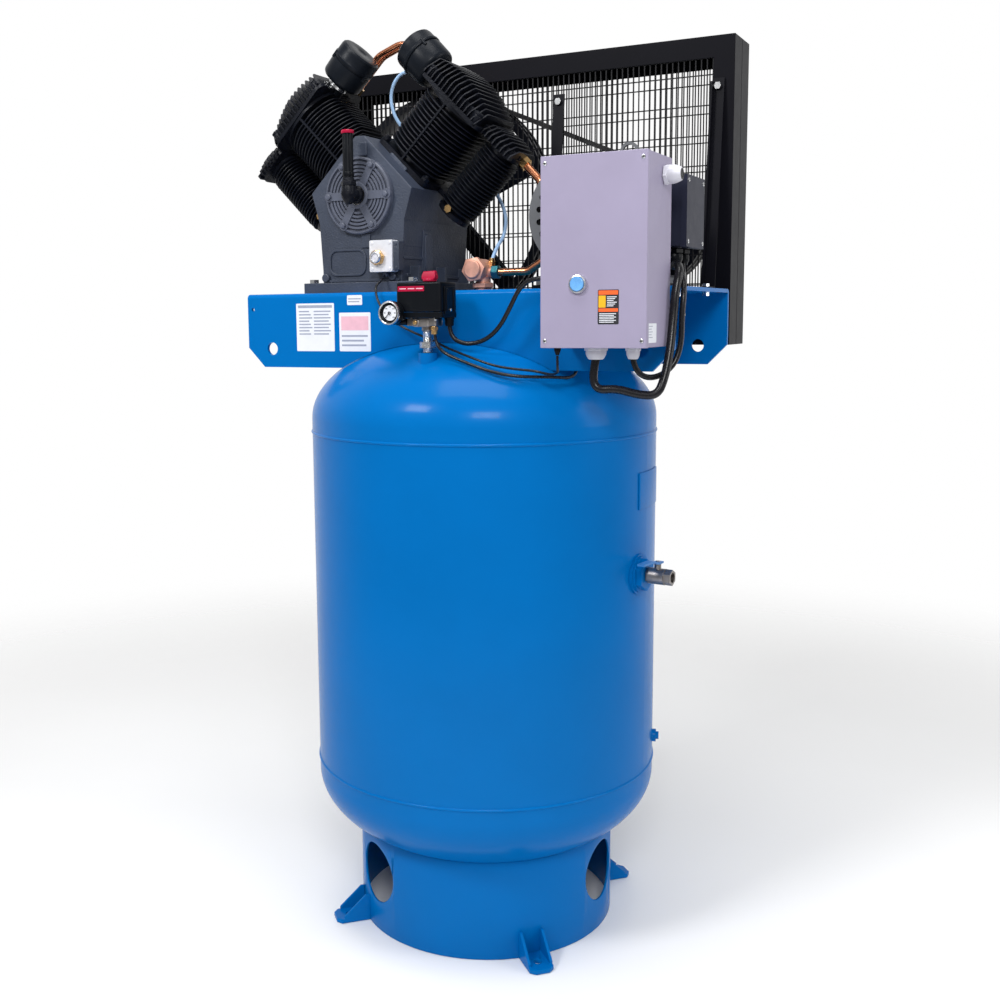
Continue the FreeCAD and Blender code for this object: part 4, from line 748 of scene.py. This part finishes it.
def recess(piece, centre, axis, out, radius=4.0):
    """A dark cross laid on a screw's head: painted shade that stands for the shade in its recess."""
    x, y, z = centre
    arm, thin = radius * 0.55, radius * 0.13
    for wide, high in ((arm, thin), (thin, arm)):
        if axis == "y":
            piece.box((x - wide, x + wide), sorted((y + out * 2.2, y + out * 2.42)), (z - high, z + high))
        else:
            piece.box(sorted((x + out * 2.2, x + out * 2.42)), (y - wide, y + wide), (z - high, z + high))


def lid_screws():
    """The screws of the starter box's and the conduit box's lids, with a painted shade cross on each head."""
    heads, marks = Piece(), Piece()
    low, high = [1000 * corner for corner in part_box("control_box_lid")]
    spots = [((x, LID_FACE, z), "y", -1) for x in (low.x + 9, high.x - 9) for z in (low.z + 13, high.z - 13)]
    side = 1000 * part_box("conduit_box")[1].x
    spots += [((side, y, z), "x", 1) for y in (-131, -34) for z in (1491, 1606)]
    for centre, axis, out in spots:
        screw(heads, centre, axis, out)
        recess(marks, centre, axis, out)
    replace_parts(heads.done("lid_screws", "zinc"), "cover_screws")
    # Painted shade: black crosses over the zinc heads stand for the shaded hollows of the recesses.
    marks.done("lid_screw_recess_shade", "black_plastic")


def label(name, wide, high, axis, face, out, bars, ground="label_white"):
    """A blank sticker: a rounded sheet with bars of each ink, (low u, high u, low v, high v) each."""
    sheet = Piece()
    sheet.plate(rounded(wide, high, 2.2), *sorted((face, face + out * 0.3)), axis)
    sheet.done(name, ground)
    for ink, spans in bars.items():
        bar = Piece()
        for u0, u1, v0, v1 in spans:
            bar.plate(rounded((u0, u1), (v0, v1), 0.4), *sorted((face + out * 0.2, face + out * 0.42)), axis)
        bar.done(f"{name}_{ink}", ink)


def stickers():
    """Blank stickers on the starter box and the deck, with bars for their print."""
    lines = [(413.5, 432 - 3 * (row % 3), 1384.2 - 3.2 * row, 1385.6 - 3.2 * row) for row in range(6)]
    lines += [(399, 431 - 4 * (row % 2), 1354.2 - 3.0 * row, 1355.6 - 3.0 * row) for row in range(6)]
    label("box_notice", (396, 436), (1336, 1398), "y", LID_FACE, -1,
          {"label_orange": [(397.5, 434.5, 1389, 1396.5), (397.5, 434.5, 1358.5, 1364.5)],
           "label_yellow": [(397.5, 411, 1366, 1387.5)], "label_white": lines}, "label_black")
    side = 1000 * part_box("control_box")[1].x + 0.2
    rating = [(-322, -300 - 6 * (row % 2), 1331 - 5 * row, 1332.4 - 5 * row) for row in range(5)]
    label("box_rating", (-328, -278), (1302, 1337), "x", side, 1, {"label_grey": rating})
    deck = 1000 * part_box("deck_platform")[0].y
    table = [(-359, -270, 1375, 1381)]
    for row in range(8):
        table += [(-357, -330 + 4 * (row % 3), 1366 - 7 * row, 1369 - 7 * row),
                  (-318, -274 - 5 * (row % 2), 1366 - 7 * row, 1369 - 7 * row)]
    label("deck_sticker_left", (-364, -265), (1281, 1385), "y", deck, -1, {"label_grey": table})
    text = [(-246, -180, 1312, 1316), (-246, -190, 1302, 1306), (-246, -184, 1292, 1296)]
    label("deck_sticker_right", (-252, -173), (1281, 1364), "y", deck, -1,
          {"label_pink": [(-247, -178, 1326, 1356)], "label_grey": text})
    tag = [(-228, -196, 1392, 1394.5), (-228, -200, 1386, 1388.5)]
    label("deck_sticker_small", (-231, -193), (1380, 1401), "y", deck, -1, {"label_grey": tag})


def button():
    """The reset button: a bright ring on the lid and the blue cap that slides in it."""
    x, z = 358, 1409
    ring = Piece()
    ring.lathe([(13.3, -336), (13.3, -343), (14.2, -344.2), (16.4, -343.6), (17.4, -341.5), (17.6, -336)],
               (x, 0, z), "y", 48, closed=True)
    ring.done("button_ring", "zinc")
    cap = Piece()
    cap.lathe([(0, -345), (7, -345.2), (11.6, -346), (12.7, -345.4), (13.0, -344), (13.0, -330), (0, -330)],
              (x, 0, z), "y", 48)
    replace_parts(cap.done("button_cap", "blue_plastic", body="reset_push"), "reset_button")


def gland(white, black, centre, radius, bore, axis, out, collar=9, tail=16):
    """A cable gland: hexagonal collar, twelve-sided tapered nut and a dark seal."""
    low, high = sorted((0, out * collar))
    white.hexagon(radius * 1.12, low, high, centre, axis, turn=12)
    outline = [
        (bore, collar - 1), (radius * 0.97, collar - 1), (radius, collar + 2),
        (radius * 0.96, collar + tail * 0.45), (radius * 0.78, collar + tail * 0.85),
        (radius * 0.66, collar + tail), (bore, collar + tail)]
    white.lathe([(reach, out * height) for reach, height in outline], centre, axis, 12, closed=True)
    top = collar + tail
    seal = [
        (bore - 0.3, top - 3), (radius * 0.6, top - 3), (radius * 0.6, top + 0.4), (bore - 0.3, top + 0.4)]
    black.lathe([(reach, out * height) for reach, height in seal], centre, axis, 32, closed=True)


def cable_glands():
    """The starter box's glands, their seals and tails, and the elbows under the conduit box."""
    white, black = Piece(), Piece()
    gland(white, black, (366, -265, 1294), 20, 8.2, "z", -1, 8, 16)
    gland(white, black, (439, -265, 1294), 13, 5.7, "z", -1, 8, 15)
    gland(white, black, (487, -238, 1605), 17.5, 7, "x", 1, 9, 23)
    black.turned([(8, 503), (8, 517), (6, 519)], (0, -238, 1605), "x", 24)
    black.lathe([(2.6, 1294), (5.5, 1294), (6.5, 1291), (6.5, 1288), (5, 1284), (3.4, 1279), (2.6, 1279)],
                (302, -300, 0), "z", 24, closed=True)
    black.lathe([(4.6, 284), (12, 284), (12, 277), (10.5, 276), (9, 268), (7, 262), (4.6, 262)],
                (0, -265, 1424), "x", 24, closed=True)
    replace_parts(white.done("gland_nuts", "white_plastic", bevel=0.5), "cable_glands")
    black.done("gland_seals", "black_plastic", bevel=0.3)
    elbow = Piece()
    for x, y, bore, reach in ((464, -100, 8.1, 15), (470, -62, 5.6, 11)):
        elbow.lathe([(bore, 1470), (reach, 1470), (reach + 1, 1467), (reach + 1, 1458), (reach - 1, 1455),
                     (reach - 2, 1450), (bore, 1450)], (x, y, 0), "z", 36, closed=True)
        elbow.hexagon(reach + 2.5, 1470.5, 1480, (x, y, 0))
    elbow.done("conduit_entries", "black_plastic", bevel=0.5)


def pressure_switch():
    """Moulded switch: a deep cover over a base, a side rib with its slot, strain relief and red strip."""
    cover_piece = Piece()
    cover_piece.plate(rounded((-45, 57), (-305, -236), 6), 1363, 1421, "z")
    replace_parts(cover_piece.done("switch_cover", "black_plastic", bevel=3.0, segments=3), "pressure_switch")
    base = Piece()
    base.plate(rounded((-43, 58), (-303, -237), 5), 1351, 1362.4, "z")
    base.box((57, 60), (-292, -247), (1358, 1412), 3, "x")
    base.box((57.5, 61.5), (-288, -280), (1364, 1408), 1.5, "x")
    base.box((57.5, 61.5), (-258, -250), (1364, 1408), 1.5, "x")
    base.lathe([(4.6, 1334), (8, 1334), (9, 1337), (9, 1347), (11, 1349), (11, 1352), (4.6, 1352)],
               (50, -256, 0), "z", 28, closed=True)
    for x in (-34, 44):
        base.turned([(5, 1348), (5.5, 1349), (5.5, 1352)], (x, -296, 0), sides=20)
    base.done("switch_base", "black_plastic", bevel=0.8)
    bolts = Piece()
    screw(bolts, (60, -269, 1366), "x", 1, 3.2)
    for x in (-38, -20, 34):
        bolts.turned([(3.4, 1345), (4, 1346), (4, 1351)], (x, -286, 0), sides=18)
    bolts.done("switch_screws", "zinc")
    strip = Piece()
    strip.plate(rounded((-40, 20), (1403.5, 1413.5), 1), -305.5, -304.8, "y")
    strip.done("switch_strip", "red_plastic")
    bars = Piece()
    for step in range(3):
        bars.plate(rounded((-36 + 19 * step, -21 + 19 * step), (1407.6, 1409.6), 0.5), -305.7, -305.3, "y")
    bars.done("switch_strip_bars", "label_pink")


def selector():
    """The red off/auto knob: a round skirt with a wedge grip."""
    x, y, _ = joint_place("selector_turn")
    piece = Piece()
    piece.turned([(5.1, 1407), (5.1, 1422.5), (14, 1422.5), (14.5, 1424), (14, 1428), (12.5, 1430)],
                 (x, y, 0), sides=40)
    grip = ((-15, 15, 8, 1427, 1427), (-15.5, 15.5, 7, 1434, 1434), (-13, 14, 4, 1443, 1444))
    piece.skin([[(x + left, y - deep, low), (x + right, y - deep, high), (x + right, y + deep, high),
                 (x + left, y + deep, low)] for left, right, deep, low, high in grip])
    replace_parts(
        piece.done("selector_knob", "red_plastic", body="selector", bevel=1.4, segments=3), "switch_knob")


def gauge():
    """Dial gauge: black case, bright bezel, white dial with its scale and its figures."""
    x, _, z = joint_place("pointer_swing")
    pipe = 1343.5
    case = Piece()
    case.lathe([(0, -307.3), (19, -307.3), (22, -309), (23.4, -313), (23.4, -327), (21, -328), (0, -326.6)],
               (x, 0, z), "y", 56)
    case.turned([(5, -309), (5, -288)], (x, 0, pipe), "y", 20)
    case.turned([(7, -56), (7, -30.2)], (0, -284, pipe), "x", 24)
    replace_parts(case.done("gauge_case", "black_plastic", bevel=0.4), "pressure_gauge")
    bezel = Piece()
    bezel.lathe([(20.4, -327.2), (23.8, -327.2), (24, -328.5), (24, -331.5), (23, -333.6), (21.4, -334),
                 (20.4, -333)], (x, 0, z), "y", 64, closed=True)
    bezel.done("gauge_bezel", "zinc", slot="steel")
    dial = Piece()
    dial.turned([(20.5, -327.6), (20.5, -327.0)], (x, 0, z), "y", 56)
    dial.done("gauge_dial", "label_white", slot="steel")
    marks = Piece()
    for step in range(31):
        angle = radians(225 - 9 * step)
        inner = 15.0 if step % 5 == 0 else 16.6
        along = Vector((cos(angle), 0, sin(angle)))
        side = Vector((-sin(angle), 0, cos(angle))) * (0.32 if step % 5 == 0 else 0.16)
        corners = [along * inner - side, along * 18.6 - side, along * 18.6 + side, along * inner + side]
        outline = [(x + corner.x, z + corner.z) for corner in corners]
        marks.plate(outline, -327.8, -327.5, "y")
    marks.done("gauge_scale", "label_black", slot="black_plastic")
    for step, figure in enumerate(("0", "50", "100", "150", "200", "250", "300")):
        angle = radians(225 - 45 * step)
        data = bpy.data.curves.new(f"gauge_figure_{figure}", "FONT")
        data.body = figure
        data.size = 0.0042
        data.extrude = 0.00008
        data.align_x = data.align_y = "CENTER"
        item = show(data, f"gauge_figure_{figure}", "label_black")
        item.location = ((x + 12.2 * cos(angle)) * MM, -0.32775, (z + 12.2 * sin(angle)) * MM)
        item.rotation_euler = (radians(90), 0, 0)


def manifold():
    """Cast cross under the switch, threaded riser with its nut, and the brass fitting and plug."""
    riser_at, fitting_at, plug_at = (8, -270, 0), (30, -282, 0), (-8, 0, 1342)
    body = Piece()
    body.box((-30, 38), (-290, -262), (1335, 1350.8), 5)
    body.box((-14, 24), (-292, -258), (1333, 1349), 7)
    body.turned([(9, 1322), (12, 1326), (12, 1336)], riser_at, sides=32)
    body.turned([(8, -293.4), (9, -292), (9, -286)], plug_at, "y", 28)
    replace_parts(body.done("switch_cross", "iron", bevel=1.0), "switch_manifold")
    riser = Piece()
    rows = [(0, 1281)]
    for step in range(16):
        rows += [(9.4, 1281 + 2.6 * step), (10.2, 1282.3 + 2.6 * step)]
    rows += [(9.4, 1323), (0, 1323)]
    riser.lathe(rows, riser_at, sides=40)
    riser.hexagon(17, 1290, 1304, riser_at, turn=15)
    riser.done("switch_riser", "zinc")
    brass = Piece()
    brass.lathe(
        [(3.4, 1318), (6, 1318), (6.5, 1320), (6.5, 1326), (3.4, 1326)], fitting_at, "z", 28, closed=True)
    brass.hexagon(8.4, 1326, 1334, fitting_at)
    brass.turned([(4, -296), (4.6, -295), (4.6, -290)], plug_at, "y", 20)
    brass.done("unloader_fitting", "brass", bevel=0.5)


def check_valve():
    """Bronze check valve: stem, locknut, cross body with the large hexagonal cap, and its two tubes' nuts."""
    low = 1000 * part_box("check_valve")[0].z
    cap_at, outlet_at, pilot_at = (-6, 0, 1455), (0, 0, 1449), (16, 12, 0)
    body = Piece()
    body.turned([(15.6, low), (15.6, 1436), (19, 1440)], (0, 0, 0), sides=40)
    body.lathe([(0, -28), (21, -28), (23, -25), (24, -20), (24, 18), (22, 24), (0, 26)], cap_at, "y", 48)
    body.hexagon(28, -39, -27, cap_at, "y", turn=8)
    body.lathe([(0, -44.6), (17, -44.4), (19.5, -42.5), (20, -38), (0, -38)], cap_at, "y", 48)
    body.turned([(11, 8), (11, 26)], outlet_at, "x", 32)
    body.turned([(8, 8), (8, 23)], (0, 0, 1372), "x", 24)
    body.hexagon(24, 1415, 1427, (0, 0, 0), turn=5)
    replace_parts(body.done("check_valve_body", "bronze", bevel=0.8), "check_valve")
    nuts = Piece()
    nuts.hexagon(15.4, 24, 40, outlet_at, "x")
    nuts.done("discharge_nut", "verdigris", bevel=0.6)
    small = Piece()
    small.hexagon(8.4, 1462, 1474, pilot_at)
    small.lathe([(4.2, 1474), (6.5, 1474), (6.2, 1480), (4.2, 1481)], pilot_at, "z", 20, closed=True)
    small.done("pilot_nut", "brass", bevel=0.4)


lid_screws()
stickers()
button()
cable_glands()
pressure_switch()
selector()
gauge()
manifold()
check_valve()


# ---------------- floor and light
def floor():
    """A pale round floor that fades into the surroundings."""
    sides, reach, sunk = 120, 5, -0.001
    turns = [radians(360 / sides * step) for step in range(sides)]
    data = bpy.data.meshes.new("floor")
    data.from_pydata([(reach * cos(turn), reach * sin(turn), sunk) for turn in turns], [],
                     [list(range(sides))])
    ground = linked("floor", data)
    finish = surface(
        "pale_floor", (0.88, 0.88, 0.88), 0.75, shade=0.01, blotch=1, grain=40, bump=0.02, depth=0.0005,
        specular=0.2)
    tree = finish.node_tree
    where = add_node(tree, "ShaderNodeTexCoord").outputs["Object"]
    ball = add_node(tree, "ShaderNodeTexGradient", gradient_type="SPHERICAL")
    shrink = add_node(tree, "ShaderNodeMapping")
    shrink.inputs["Scale"].default_value = (0.25, 0.25, 0.25)
    tree.links.new(where, shrink.inputs["Vector"])
    tree.links.new(shrink.outputs["Vector"], ball.inputs["Vector"])
    tree.links.new(eased(tree, ball.outputs["Fac"], 0.05, 0.6), tree.nodes["Principled BSDF"].inputs["Alpha"])
    data.materials.append(finish)


def area_light(name, place, aim, width, height, power):
    """A soft box at a place, turned to its aim."""
    data = bpy.data.lights.new(name, "AREA")
    data.shape = "RECTANGLE"
    data.size = width
    data.size_y = height
    data.energy = power
    item = linked(name, data)
    item.location = place
    item.rotation_euler = (Vector(aim) - Vector(place)).to_track_quat("-Z", "Y").to_euler()


def lights():
    """A studio that is bright behind and below the object and dim in front, and four soft boxes."""
    world = bpy.data.worlds.new("studio")
    bpy.context.scene.world = world
    world.use_nodes = True
    tree = world.node_tree
    back = tree.nodes["Background"]
    aim = add_node(tree, "ShaderNodeTexCoord").outputs["Generated"]
    turn = add_node(tree, "ShaderNodeVectorMath", operation="DOT_PRODUCT")
    turn.inputs[1].default_value = (-0.46, 0.85, -0.25)
    tree.links.new(aim, turn.inputs[0])
    tree.links.new(eased(tree, turn.outputs["Value"], -0.1, 0.6, 0.33), back.inputs["Strength"])
    back.inputs["Color"].default_value = (1, 1, 1, 1)
    area_light("key", (-1.4, -3.4, 3.9), (0, 0, 1.2), 1.1, 0.8, 95)
    area_light("fill", (1.9, -3.6, 3.3), (0, 0, 1.1), 1.3, 1.0, 95)
    area_light("over", (0.2, -0.8, 4.4), (0, 0, 1.4), 2.0, 1.6, 70)
    area_light("rim", (3.5, 0.6, 2.2), (0.2, 0, 1.2), 1.2, 2.6, 35)
    bpy.context.scene.view_settings.view_transform = "Standard"


floor()
lights()
